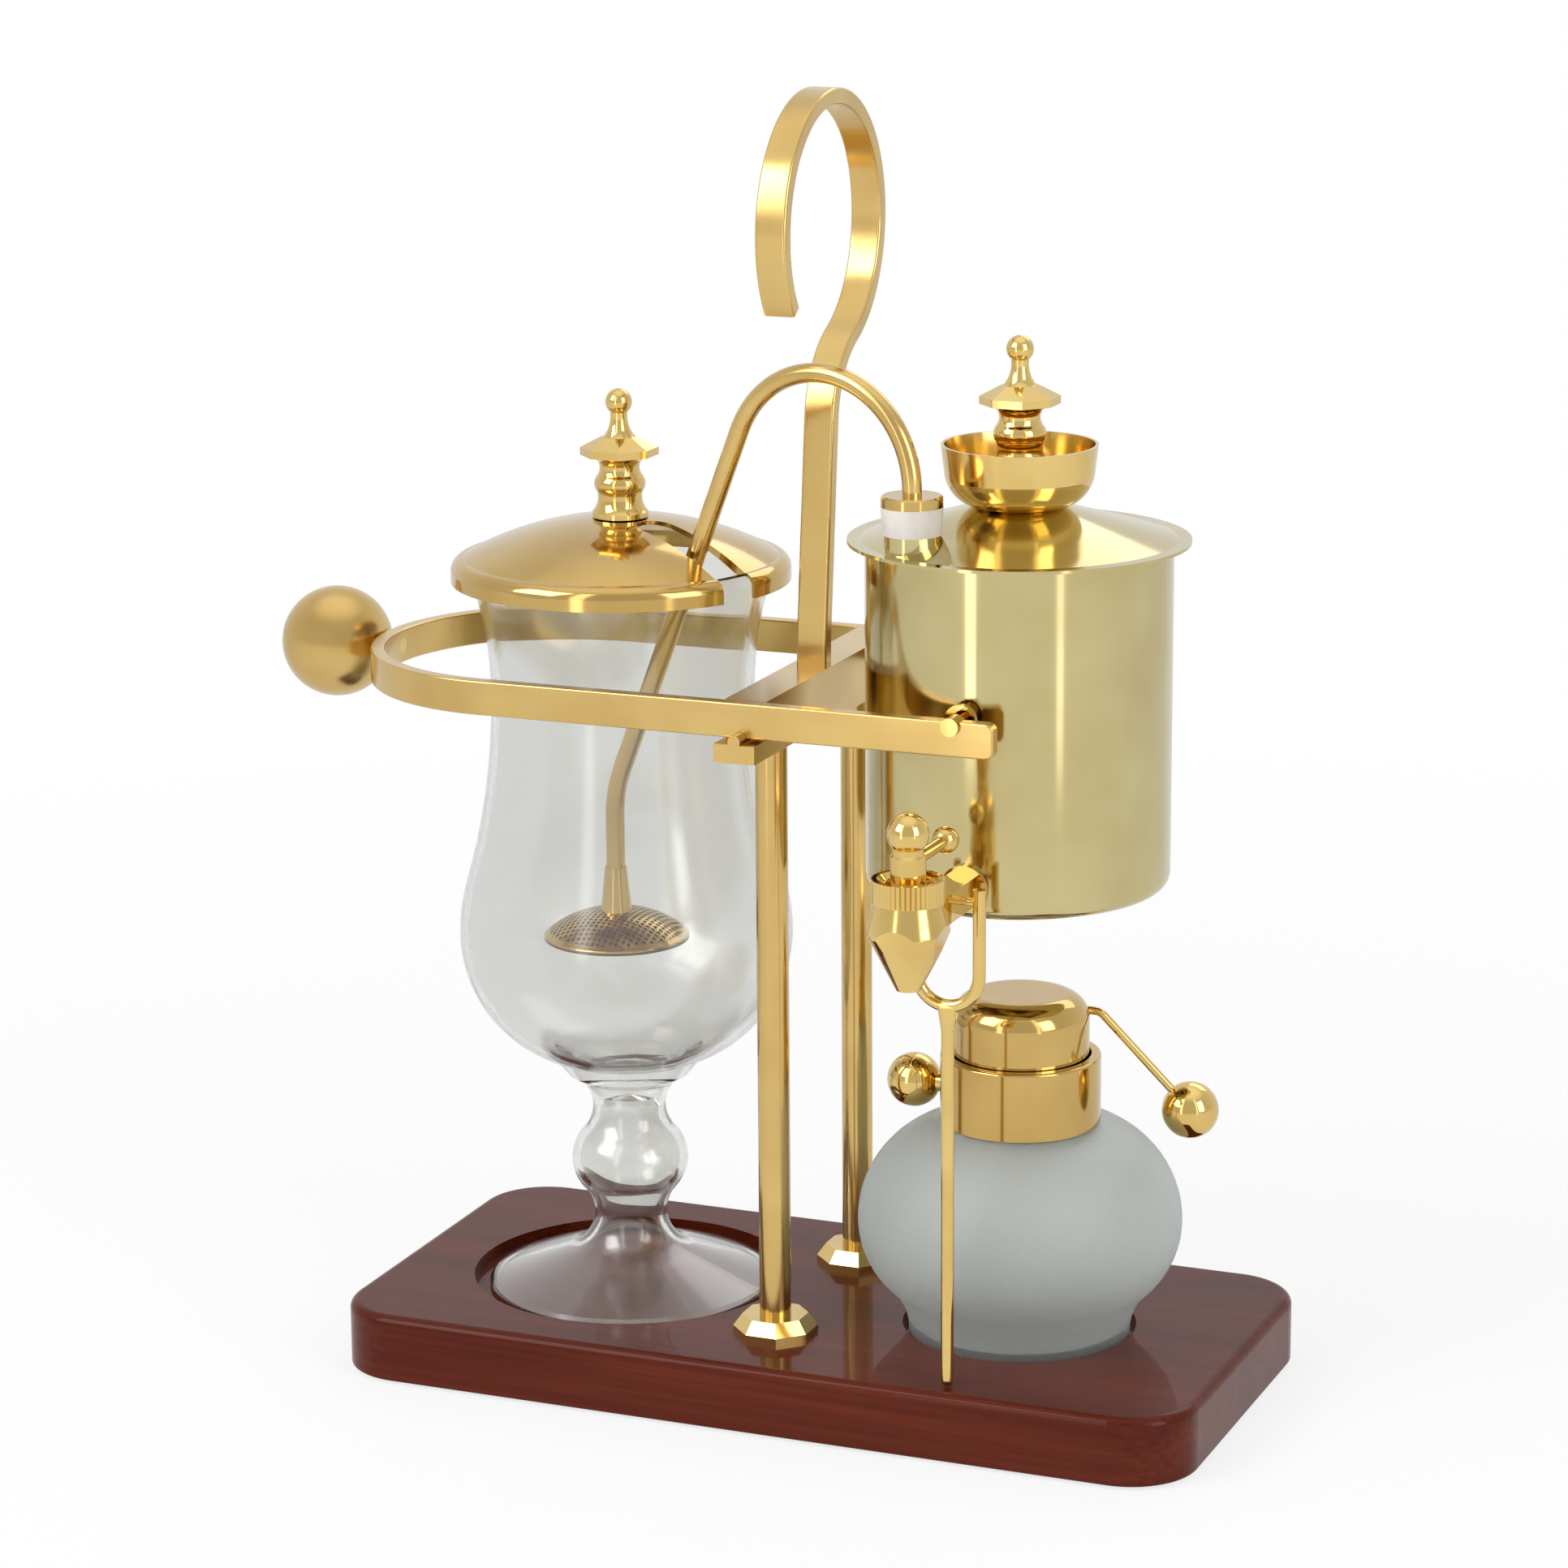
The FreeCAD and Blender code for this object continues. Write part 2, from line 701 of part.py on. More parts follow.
def make_crossbar():
    """The bar across the columns: stepped ends under the arm's legs, pivot pins and the hook's slot."""
    bar = new_body("crossbar", "column_x")
    half = "bar_length / 2"
    pad(bar, "YZ_Plane", [
        (f"-{half}", "bar_bottom"), (half, "bar_bottom"), (half, "lip_top"), ("shoulder_y", "lip_top"),
        ("shoulder_y", "bar_top"), ("-shoulder_y", "bar_top"), ("-shoulder_y", "lip_top"), (f"-{half}", "lip_top"),
    ], "bar_width", both_ways=True)
    reach = f"{half} - shoulder_y + pivot_seat"
    bore(bar, "XZ_Plane", "0", "arm_bottom", "pivot_r", reach, half)
    bore(bar, "XZ_Plane", "0", "arm_bottom", "pivot_r", reach, f"-{half}", forward=True)
    for side in ("column_y", "-column_y"):
        bore(bar, "XY_Plane", "0", side, "screw_r", "stud_grip", "bar_bottom", forward=True)
    x, y = "hook_width / 2", "hook_thick / 2"
    carve(bar, "XY_Plane", [(f"-{x}", f"-{y}"), (x, f"-{y}"), (x, y), (f"-{x}", y)], "hook_seat", "bar_top")
    bore(bar, "XY_Plane", "0", "0", "hook_screw_r", "bar_height - hook_seat", "bar_bottom", forward=True)
    pin = doc.addObject("Part::Cylinder", "pivot_pin")
    pin.setExpression("Radius", bound("pivot_r"))
    pin.setExpression("Height", bound(reach))
    pin.Placement.Rotation = FreeCAD.Rotation(FreeCAD.Vector(1, 0, 0), -90)
    place(pin, "column_x", f"-{half}", "arm_bottom")
    pair("pivot_pins", pin)


def make_hook():
    """The carrying hook, a flat strip in the plane across the board, and its screw."""
    lean = math.radians(value("hook_lean"))
    along = FreeCAD.Vector(0, math.sin(lean), math.cos(lean))
    right = FreeCAD.Vector(0, math.cos(lean), -math.sin(lean))
    x, top = value("column_x"), value("bar_top")
    foot = FreeCAD.Vector(x, 0, top - value("hook_seat"))
    rise = FreeCAD.Vector(x, 0, top + value("hook_start"))
    pivot = rise + FreeCAD.Vector(0, value("lean_r"), 0)
    half_lean = FreeCAD.Vector(0, math.cos(lean / 2), -math.sin(lean / 2))
    bent = pivot - right * value("lean_r")
    loop = FreeCAD.Vector(x, value("loop_y"), top + value("loop_rise"))
    sway, loop_r = value("sway_r"), value("loop_r")
    gap = bent + right * sway - loop
    slope = along.dot(gap)
    run = -slope - math.sqrt(slope**2 - gap.dot(gap) + (loop_r + sway) ** 2)
    leave = bent + along * run
    centre = leave + right * sway
    toward = (centre - loop).normalize()
    cross = loop + toward * loop_r
    tail = math.radians(180 + value("hook_tail"))
    end = loop + FreeCAD.Vector(0, math.cos(tail), math.sin(tail)) * loop_r
    middle = centre - (right + toward).normalize() * sway
    crown = loop + FreeCAD.Vector(0, 0, loop_r)
    spine = Part.Wire([
        line(foot, rise), arc(rise, pivot - half_lean * value("lean_r"), bent), line(bent, leave),
        arc(leave, middle, cross), arc(cross, loop + FreeCAD.Vector(0, loop_r, 0), crown),
        arc(crown, loop - FreeCAD.Vector(0, loop_r, 0), end),
    ])
    wide, thick = value("hook_width") / 2, value("hook_thick") / 2
    section = Part.makePlane(2 * wide, 2 * thick, foot - FreeCAD.Vector(wide, thick, 0))
    rounded = section.makeOffset2D(-value("hook_round")).makeOffset2D(value("hook_round"))
    strip = spine.makePipeShell([rounded.OuterWire], True, False)
    hole = Part.makeCylinder(value("hook_screw_r"), value("hook_screw_grip"), foot)
    shaped("handle_hook", strip.cut(hole))
    screw = new_body("handle_screw", "column_x", "0", "bar_bottom - screw_head")
    length = "bar_height - hook_seat + hook_screw_grip + screw_head - screw_slack"
    turn(screw, [
        ("0", "0"), ("2 * hook_screw_r", "0"), ("2 * hook_screw_r", "screw_head"), ("hook_screw_r", "screw_head"),
        ("hook_screw_r", length), ("0", length),
    ])


def make_arm():
    """The balance arm, a strip on edge bent to a U, with the counterweight ball at its end."""
    arm_body = new_body("balance_arm", z="arm_bottom")
    pad(arm_body, "XY_Plane", [
        ("arm_tip_x", "arm_spread"), ("arm_bend_x", "arm_spread", "arm_spread"),
        ("arm_bend_x - arm_spread", "0", "arm_spread"), ("arm_bend_x", "-arm_spread"),
        ("arm_tip_x", "-arm_spread"), ("arm_tip_x", "-arm_inner"), ("arm_bend_x", "-arm_inner", "-arm_inner"),
        ("arm_bend_x - arm_inner", "0", "-arm_inner"), ("arm_bend_x", "arm_inner"), ("arm_tip_x", "arm_inner"),
    ], "arm_height")
    tip = value("arm_tip_x")
    ease(arm_body, "arm_corner", lambda box: abs(box.XMin - tip) < 1e-4 and box.XLength + box.ZLength < 1e-4)
    ease(arm_body, "arm_round", lambda box: box.ZLength < 1e-4 and box.XLength + box.YLength > value("arm_thick"))
    bore(arm_body, "XZ_Plane", "column_x", "0", "pivot_r + run_fit")
    hang, wide = "arm_height - trunnion_drop", "(trunnion_r + run_fit)"
    above = "arm_height + trunnion_r"
    carve(arm_body, "XZ_Plane", [
        (f"boiler_x - {wide}", hang, wide), ("boiler_x", f"{hang} - {wide}", wide), (f"boiler_x + {wide}", hang),
        (f"boiler_x + {wide}", above), (f"boiler_x - {wide}", above),
    ])
    inside = "arm_bend_x - arm_inner + arm_round"
    bore(arm_body, "YZ_Plane", "0", "arm_height / 2", "ball_stud_r", "2 * arm_thick", inside)
    stud = new_body("counterweight_stud", "ball_x", "0", "arm_mid")
    stud.Placement.Rotation = FreeCAD.Rotation(FreeCAD.Vector(0, 1, 0), 90)
    near, far = "ball_r", "ball_r + ball_gap"
    turn(stud, [
        ("0", "ball_r - ball_stud_grip"), ("ball_stud_r", "ball_r - ball_stud_grip"), ("ball_stud_r", near),
        ("ball_neck_r", near), ("ball_neck_r", far), ("ball_stud_r", far), ("ball_stud_r", f"{far} + arm_thick"),
        ("0", f"{far} + arm_thick"),
    ])
    ball = new_body("counterweight_ball", "ball_x", "0", "arm_mid")
    ball.Placement.Rotation = FreeCAD.Rotation(FreeCAD.Vector(0, 1, 0), 90)
    hollow = "(ball_r - ball_wall)"
    outer_hole, inner_hole = "sqrt(ball_r^2 - ball_stud_r^2)", f"sqrt({hollow}^2 - ball_stud_r^2)"
    turn(ball, [
        ("0", "-ball_r", "ball_r"), ("ball_r", "0", "ball_r"), ("ball_stud_r", outer_hole),
        ("ball_stud_r", inner_hole, f"-{hollow}"), (hollow, "0", f"-{hollow}"), ("0", f"-{hollow}"),
    ])


def make_boiler():
    """The drawn cup, its conical top plate with a brim, the trunnions and the neck for the stopper."""
    shell = new_body("boiler_shell", "boiler_x", "0", "boiler_base")
    inner = "(boiler_r - boiler_wall)"
    turn(shell, [
        ("0", "0"), ("boiler_r - boiler_round", "0", "boiler_round"), ("boiler_r", "boiler_round"),
        ("boiler_r", "shell_top - top_slope * boiler_wall"), (inner, "shell_top"),
        (inner, "boiler_round", "-(boiler_round - boiler_wall)"), ("boiler_r - boiler_round", "boiler_wall"),
        ("0", "boiler_wall"),
    ])
    bore(shell, "XZ_Plane", "0", "boiler_drop", "trunnion_root_r")
    bore(shell, "XZ_Plane", "0", "tap_z", "tap_spigot_r", "boiler_r", "boiler_r")
    top = new_body("boiler_top", "boiler_x", "0", "boiler_base")
    turn(top, [
        ("spigot_r", "funnel_z - boiler_wall"), ("funnel_foot_r", "funnel_z - boiler_wall"),
        ("cone_r", "boiler_height - boiler_wall"), ("rim_r", "boiler_height - boiler_wall"),
        ("rim_r", "boiler_height"), ("cone_r", "boiler_height"), ("funnel_foot_r", "funnel_z"),
        ("spigot_r", "funnel_z"),
    ])
    bore(top, "XY_Plane", "siphon_x - boiler_x", "siphon_y", "neck_r")
    neck = new_body("siphon_neck", "siphon_x", "siphon_y", "neck_top")
    turn(neck, [
        ("neck_r - neck_wall", "-neck_length"), ("neck_r", "-neck_length"), ("neck_r", "0"),
        ("neck_r - neck_wall", "0"),
    ])
    for name, turned in (("front", 90), ("rear", -90)):
        trunnion = new_body("trunnion_" + name, "boiler_x", "0", "trunnion_z")
        trunnion.Placement.Rotation = FreeCAD.Rotation(FreeCAD.Vector(1, 0, 0), turned)
        disc, end = "boiler_r + trunnion_stand", "arm_spread + trunnion_head"
        turn(trunnion, [
            ("0", "boiler_r - 2 * boiler_wall"), ("trunnion_root_r", "boiler_r - 2 * boiler_wall"),
            ("trunnion_root_r", disc), ("trunnion_disc_r", disc), ("trunnion_disc_r", f"{disc} + trunnion_disc"),
            ("trunnion_neck_r", f"{disc} + trunnion_disc"), ("trunnion_neck_r", "arm_inner - arm_gap"),
            ("trunnion_r", "arm_inner - arm_gap"), ("trunnion_r", end), ("0", end),
        ])


def make_finial(body, below):
    """Turns a finial with an octagonal flange on a body, above the outline points given for what is below it."""
    flange_top = "finial_flange_z + finial_flange"
    cone_top = f"{flange_top} + finial_cone"
    ball_z = "finial_height - finial_ball_r"
    middle = "(finial_bead_r + finial_waist_r) / 2"
    swell = "((finial_bead_r - finial_waist_r) / 2)"
    bead_round = f"(finial_bead^2 + {swell}^2) / (2 * {swell})"
    ball_foot = f"{ball_z} - sqrt(finial_ball_r^2 - finial_neck_r^2)"
    turn(body, below + [
        ("finial_foot_r", "0"), ("finial_foot_r", "finial_foot", "-finial_cove"),
        (middle, "finial_bead_z - finial_bead", bead_round),
        (middle, "finial_bead_z + finial_bead", f"-({bead_round})"), (middle, "finial_bead_z + 3 * finial_bead"),
        ("finial_flange_r - finial_step", "finial_flange_z"), ("finial_flare_r", flange_top),
        ("finial_flare_r", cone_top, "-2 * finial_flare_r"),
        ("finial_neck_r", f"{ball_foot} - finial_step"), ("finial_neck_r", ball_foot, "finial_ball_r"),
        ("finial_ball_r", ball_z, "finial_ball_r"), ("0", "finial_height"),
    ])
    pad(body, "XY_Plane", octagon("finial_flange_r"), "finial_flange", "finial_flange_z")
    taper(body, flange_top, "finial_flange_r", cone_top, "(finial_flare_r + finial_ledge)")


def make_filler():
    """The filling funnel on the boiler's top, its plug and the plug's washer."""
    funnel = new_body("filler_funnel", "boiler_x", "0", "boiler_base + funnel_z")
    turn(funnel, [
        ("throat_r", "-spigot_drop"), ("spigot_r", "-spigot_drop"), ("spigot_r", "0"),
        ("funnel_foot_r", "0", "funnel_round"), ("funnel_belly_r", "funnel_belly"), ("funnel_r", "funnel_height"),
        ("funnel_r - funnel_wall", "funnel_height"),
        ("funnel_belly_r - funnel_wall", "funnel_belly", "-funnel_round"),
        ("funnel_foot_r - funnel_wall", "funnel_floor"), ("throat_r", "funnel_floor"),
    ])
    plug = new_body("filler_plug", "boiler_x", "0", "boiler_base + plug_z")
    shank = "(throat_r - plug_gap)"
    make_finial(plug, [
        ("0", "-(plug_lift + spigot_drop)"), (shank, "-(plug_lift + spigot_drop)"), (shank, "-plug_lift"),
        ("finial_foot_r", "-plug_lift"),
    ])
    seal = new_body("filler_seal", "boiler_x", "0", "boiler_base + funnel_z + funnel_floor")
    turn(seal, [(shank, "0"), ("finial_foot_r", "0"), ("finial_foot_r", "seal_thick"), (shank, "seal_thick")])


def make_tap():
    """The draw-off tap: ring, square pipe, faceted bulb, gland nut, and the key with its lever."""
    ring = new_body("tap_flange", "boiler_x", "0", "tap_height")
    ring.Placement.Rotation = FreeCAD.Rotation(FreeCAD.Vector(1, 0, 0), 90)
    turn(ring, [
        ("tap_spigot_r", "boiler_r"), ("tap_ring_r", "boiler_r"), ("tap_ring_r", "boiler_r + tap_ring"),
        ("tap_spigot_r", "boiler_r + tap_ring"),
    ])
    pipe = new_body("tap_pipe", "boiler_x", "0", "tap_height")
    pipe.Placement.Rotation = FreeCAD.Rotation(FreeCAD.Vector(1, 0, 0), 90)
    half = "tap_bar / 2"
    square = [(f"-{half}", f"-{half}"), (half, f"-{half}"), (half, half), (f"-{half}", half)]
    seat = "(bulb_r - tap_bar / 2)"
    bar_length = f"tap_reach - tap_ring - {seat}"
    pad(pipe, "XY_Plane", square, bar_length, "boiler_r + tap_ring")
    spigot = "tap_ring + 2 * boiler_wall"
    spigot_sketch = new_sketch(pipe, "XY_Plane", "boiler_r - 2 * boiler_wall")
    draw_circle(spigot_sketch, "0", "0", "tap_spigot_r")
    spigot_pad = pipe.newObject("PartDesign::Pad", "tap_pipe_spigot")
    spigot_pad.Profile = spigot_sketch
    spigot_pad.setExpression("Length", bound(spigot))
    bore(pipe, "XY_Plane", "0", "0", "tap_bore_r")
    bore(pipe, "YZ_Plane", "0", "-prop_y", "prop_pin_r + run_fit", "prop_pin_deep + run_fit", half)
    bore(pipe, "YZ_Plane", "0", "-prop_y", "prop_pin_r + run_fit", "prop_pin_deep + run_fit", f"-{half}", True)

    bulb = new_body("tap_body", "boiler_x", "tap_y", "tap_height")
    turn(bulb, [
        ("spout_bore_r", "-spout_drop"), ("spout_r", "-spout_drop"), ("bulb_r", "-bulb_low"),
        ("bulb_top_r", "bulb_top"), ("cup_r", "bulb_top"), ("cup_r", "-(key_deep + run_fit)"),
        ("spout_bore_r", "-(key_deep + run_fit)"),
    ])
    ease(bulb, "bulb_ease", level(-value("bulb_low")))
    facet = carve(bulb, "XZ_Plane", [
        ("facet_r + facet_slope * (bulb_top + bulb_low)", "bulb_top"),
        ("facet_r - facet_slope * (spout_drop - bulb_low)", "-spout_drop"),
        ("2 * bulb_r", "-spout_drop"), ("2 * bulb_r", "bulb_top"),
    ])
    spread(bulb, facet, "4")
    carve(bulb, "XZ_Plane", square, "bulb_r", f"-bulb_r - {seat}", True)
    bore(bulb, "XZ_Plane", "0", "0", "tap_bore_r", seat, f"-{seat}", True)

    nut = new_body("tap_nut", "boiler_x", "tap_y", "tap_height")
    turn(nut, [
        ("cup_r", "bulb_top"), ("nut_r", "bulb_top"), ("nut_r", "nut_top"), ("nut_dish_r", "nut_top"),
        ("nut_dish_r - nut_dish", "nut_top - nut_dish"), ("cup_r", "nut_top - nut_dish"),
    ])
    groove = carve(nut, "XY_Plane", [
        ("nut_r - nut_groove", "0"), ("nut_r + nut_groove", "-2 * nut_groove"),
        ("nut_r + nut_groove", "2 * nut_groove"),
    ])
    spread(nut, groove, "nut_grooves")

    key = new_body("tap_key", "boiler_x", "tap_y", "tap_height")
    foot = "key_ball_z - sqrt(key_ball_r^2 - key_neck_r^2)"
    turn(key, [
        ("0", "-key_deep"), ("key_r", "-key_deep"), ("key_r", "key_neck"), ("key_neck_r", "key_neck + key_taper"),
        ("key_neck_r", foot, "key_ball_r"), ("key_ball_r", "key_ball_z", "key_ball_r"),
        ("0", "key_ball_z + key_ball_r"),
    ])
    bore(key, "XZ_Plane", "0", "lever_z", "lever_r", "lever_sink", "-key_r", True)
    lever = new_body("tap_lever", "boiler_x", "tap_y", "tap_height + lever_z")
    lever.Placement.Rotation = FreeCAD.Rotation(FreeCAD.Vector(1, 0, 0), -90)
    meet = "lever_reach - sqrt(lever_ball_r^2 - lever_r^2)"
    turn(lever, [
        ("0", "key_r - lever_sink"), ("lever_r", "key_r - lever_sink"), ("lever_r", meet, "lever_ball_r"),
        ("lever_ball_r", "lever_reach", "lever_ball_r"), ("0", "lever_reach + lever_ball_r"),
    ])


def make_prop():
    """The forked prop: two tines with inward pins in the tap pipe's sides, and a stem down to the board."""
    x, y, pivot = value("boiler_x"), value("prop_y"), value("tap_height")
    spread_x, radius = value("prop_spread"), value("prop_r")
    bend = pivot - value("prop_crotch") + spread_x - radius
    tip = value("board_top + prop_clear")
    left = FreeCAD.Vector(x - spread_x, y, bend)
    right = FreeCAD.Vector(x + spread_x, y, bend)
    low = FreeCAD.Vector(x, y, bend - spread_x)
    top = FreeCAD.Vector(0, 0, pivot + value("prop_top") - bend)
    fork = rod([line(left + top, left), arc(left, low, right), line(right, right + top)], radius)
    stem = Part.makeCylinder(radius, low.z - tip - radius, FreeCAD.Vector(x, y, tip + radius))
    point = Part.makeSphere(radius, FreeCAD.Vector(x, y, tip + radius))
    web = value("prop_web")
    root = Part.makeCone(radius, value("prop_web_r"), web, low - FreeCAD.Vector(0, 0, web))
    pin_r, deep = value("prop_pin_r"), value("prop_pin_deep")
    reach = spread_x - value("tap_bar / 2") + deep
    pins = []
    for side in (-1, 1):
        start = FreeCAD.Vector(x + side * spread_x, y, pivot)
        pins.append(Part.makeCylinder(pin_r, reach, start, FreeCAD.Vector(-side, 0, 0)))
    shaped("prop_fork", fork.fuse([stem, point, root] + pins).removeSplitter())


def make_siphon():
    """The stopper and its cap, the bent tube with its dip leg, and the filter at its lower end."""
    stopper = new_body("siphon_stopper", "siphon_x", "siphon_y", "neck_top")
    plug = "(neck_r - neck_wall - stopper_gap)"
    turn(stopper, [
        ("tube_r", "-stopper_plug"), (f"{plug} - stopper_taper", "-stopper_plug"), (plug, "0"),
        ("stopper_foot_r", "0"), ("stopper_top_r", "stopper_height"), ("tube_r", "stopper_height"),
    ])
    cap = new_body("siphon_cap", "siphon_x", "siphon_y", "cap_z")
    turn(cap, [
        ("tube_r", "0"), ("cap_r", "0"), ("cap_r", "cap_thick - cap_ease"), ("cap_r - cap_ease", "cap_thick"),
        ("tube_r", "cap_thick"),
    ])
    ahead = FreeCAD.Vector(value("filter_x - siphon_x"), value("filter_y - siphon_y"), 0).normalize()
    up = FreeCAD.Vector(0, 0, 1)
    axis = FreeCAD.Vector(value("siphon_x"), value("siphon_y"), 0)
    slant = math.radians(value("tube_slant"))
    arch, bend = value("arch_r"), value("tube_bend_r")
    slope = ahead * math.sin(slant) - up * math.cos(slant)
    lean = ahead * math.cos(slant) + up * math.sin(slant)
    foot = axis + up * value("boiler_base + boiler_wall + dip_gap")
    rise = axis + up * value("arch_z")
    centre = rise + ahead * arch
    leave = centre + lean * arch
    run = (value("siphon_reach") - arch - arch * math.cos(slant) - bend * (1 - math.cos(slant))) / math.sin(slant)
    reach = leave + slope * run
    turn_centre = reach - lean * bend
    halfway = ahead * math.cos(slant / 2) + up * math.sin(slant / 2)
    drop = turn_centre + ahead * bend
    end = FreeCAD.Vector(drop.x, drop.y, value("filter_top + ferrule_height - ferrule_grip"))
    path = [
        line(foot, rise), arc(rise, centre + up * arch, centre + (up + lean).normalize() * arch),
        arc(centre + (up + lean).normalize() * arch, centre + (up + lean * 3).normalize() * arch, leave),
        line(leave, reach), arc(reach, turn_centre + halfway * bend, drop), line(drop, end),
    ]
    shaped("siphon_tube", rod(path, value("tube_r")).cut(rod(path, value("tube_bore_r"))))

    ferrule = new_body("filter_ferrule", "filter_x", "filter_y", "filter_top")
    turn(ferrule, [
        ("tube_bore_r", "0"), ("ferrule_r", "0"), ("ferrule_top_r", "ferrule_height"), ("tube_r", "ferrule_height"),
        ("tube_r", "ferrule_height - ferrule_grip"), ("tube_bore_r", "ferrule_height - ferrule_grip"),
    ])
    dome = new_body("filter_dome", "filter_x", "filter_y", "filter_z")
    turn(dome, [
        ("tube_bore_r", "filter_dome - filter_sheet"),
        ("filter_flat_r", "filter_dome - filter_sheet", "-filter_crown"), ("filter_r - filter_sheet", "0"),
        ("filter_r", "0", "filter_crown"), ("filter_flat_r", "filter_dome"), ("tube_bore_r", "filter_dome"),
    ])
    for ring, count in ((2, 10), (3, 16), (4, 20), (5, 24)):
        if ring * value("filter_ring") < value("filter_r - 2 * filter_hole_r"):
            hole = bore(dome, "XY_Plane", f"{ring} * filter_ring", "0", "filter_hole_r")
            spread(dome, hole, str(count))
    base = new_body("filter_base", "filter_x", "filter_y", "filter_z - filter_sheet")
    turn(base, [("0", "0"), ("filter_r", "0"), ("filter_r", "filter_sheet"), ("0", "filter_sheet")])
    hole = bore(base, "XY_Plane", "2 * filter_ring", "0", "filter_hole_r")
    spread(base, hole, "12")


def make_goblet():
    """The glass: hollow foot and knop, a bowl with a waist and a flared mouth."""
    goblet = new_body("goblet", "goblet_x", "0", "recess_floor")
    low_axis, high_axis = "(stem_r + low_stem_round)", "(stem_r + high_stem_round)"
    low_r, high_r = "(low_stem_round + glass)", "(high_stem_round + glass)"
    low_reach, high_reach = "(stem_in + low_stem_round)", "(stem_in + high_stem_round)"
    knop_low = (f"knop_in + low_share * {low_reach}", "knop_z - low_share * low_span")
    knop_high = (f"knop_in + high_share * {high_reach}", "knop_z + high_share * high_span")
    inner_low = (f"knop_in + low_inner_share * {low_reach}", "knop_z - low_inner_share * low_span")
    inner_high = (f"knop_in + high_inner_share * {high_reach}", "knop_z + high_inner_share * high_span")
    waist_axis = "(waist_out + waist_round)"
    swell = (f"bowl_top_in + waist_share * {waist_axis}", "bowl_z + waist_share * waist_span")
    inner_swell = (f"bowl_top_in + waist_inner_share * {waist_axis}", "bowl_z + waist_inner_share * waist_span")
    bowl_start = "bowl_z - sqrt(bowl_low^2 - (bowl_start_r - bowl_in)^2)"
    turn(goblet, [
        ("foot_r - glass", "0"), ("foot_r - glass / 2", "0"), ("foot_r", "foot_edge / 2"),
        ("foot_r - glass / 2", "foot_edge"),
        (f"{low_axis} - low_stem_round * sin(foot_slope)", "low_stem_z - low_stem_round * cos(foot_slope)",
         "-low_stem_round"),
        (*knop_low, "knop_round"), (*knop_high, "-high_stem_round"),
        (f"{high_axis} - high_stem_round * sin(stem_flare)", "high_stem_z + high_stem_round * cos(stem_flare)"),
        ("bowl_start_r", bowl_start, "bowl_low"), ("bowl_r", "bowl_z", "bowl_high"), (*swell, "-waist_round"),
        ("waist_r", "waist_z", "-mouth_round"), ("mouth_r", "mouth_z"),
        ("mouth_inner", "mouth_z", "mouth_round + glass"),
        ("waist_r - glass", "waist_z", "waist_round + glass"), (*inner_swell, "-(bowl_high - glass)"),
        ("bowl_r - glass", "bowl_z", "-(bowl_low - glass)"), ("bowl_in", "bowl_z - bowl_low + glass"),
        ("0", "bowl_z - bowl_low + glass"), ("0", "high_stem_z + stem_hollow"),
        ("stem_r - 2 * glass", "high_stem_z + stem_hollow / 2"), ("stem_r - glass", "high_stem_z", high_r),
        (*inner_high, "-(knop_round - glass)"), (*inner_low, low_r),
        (f"{low_axis} - {low_r} * sin(foot_slope)", f"low_stem_z - {low_r} * cos(foot_slope)"),
    ])


def make_lid():
    """The domed lid with its tube slot, the finial through it and the nut below."""
    lid = new_body("goblet_lid", "goblet_x", "0", "lid_z")
    turn(lid, [
        ("finial_stud_r", "lid_rise"), ("nut_flats", "lid_rise", "-lid_crown"), ("lid_flat_r", "0"),
        ("lid_r - lid_round", "0", "-(lid_round - lid_sheet)"), ("lid_r - lid_sheet", "lid_sheet - lid_round"),
        ("lid_r - lid_sheet", "-lid_skirt"), ("lid_r", "-lid_skirt"),
        ("lid_r", "lid_sheet - lid_round", "lid_round"), ("lid_r - lid_round", "lid_sheet", "lid_crown"),
        ("finial_stud_r", "lid_rise + lid_sheet"),
    ])
    half = "(slot_width / 2)"
    start, end = "slot_start", "(lid_r + slot_width)"
    cos, sin = "cos(slot_turn)", "sin(slot_turn)"
    carve(lid, "XY_Plane", [
        (f"{start} * {cos} + {half} * {sin}", f"-{start} * {sin} + {half} * {cos}", half),
        (f"({start} - {half}) * {cos}", f"-({start} - {half}) * {sin}", half),
        (f"{start} * {cos} - {half} * {sin}", f"-{start} * {sin} - {half} * {cos}"),
        (f"{end} * {cos} - {half} * {sin}", f"-{end} * {sin} - {half} * {cos}"),
        (f"{end} * {cos} + {half} * {sin}", f"-{end} * {sin} + {half} * {cos}"),
    ])
    finial = new_body("lid_finial", "goblet_x", "0", "lid_top")
    make_finial(finial, [("0", "-finial_stud"), ("finial_stud_r", "-finial_stud"), ("finial_stud_r", "0")])
    nut = new_body("lid_nut", "goblet_x", "0", "lid_top - lid_sheet - lid_nut_thick")
    pad(nut, "XY_Plane", octagon("nut_flats"), "lid_nut_thick")
    bore(nut, "XY_Plane", "0", "0", "finial_stud_r")


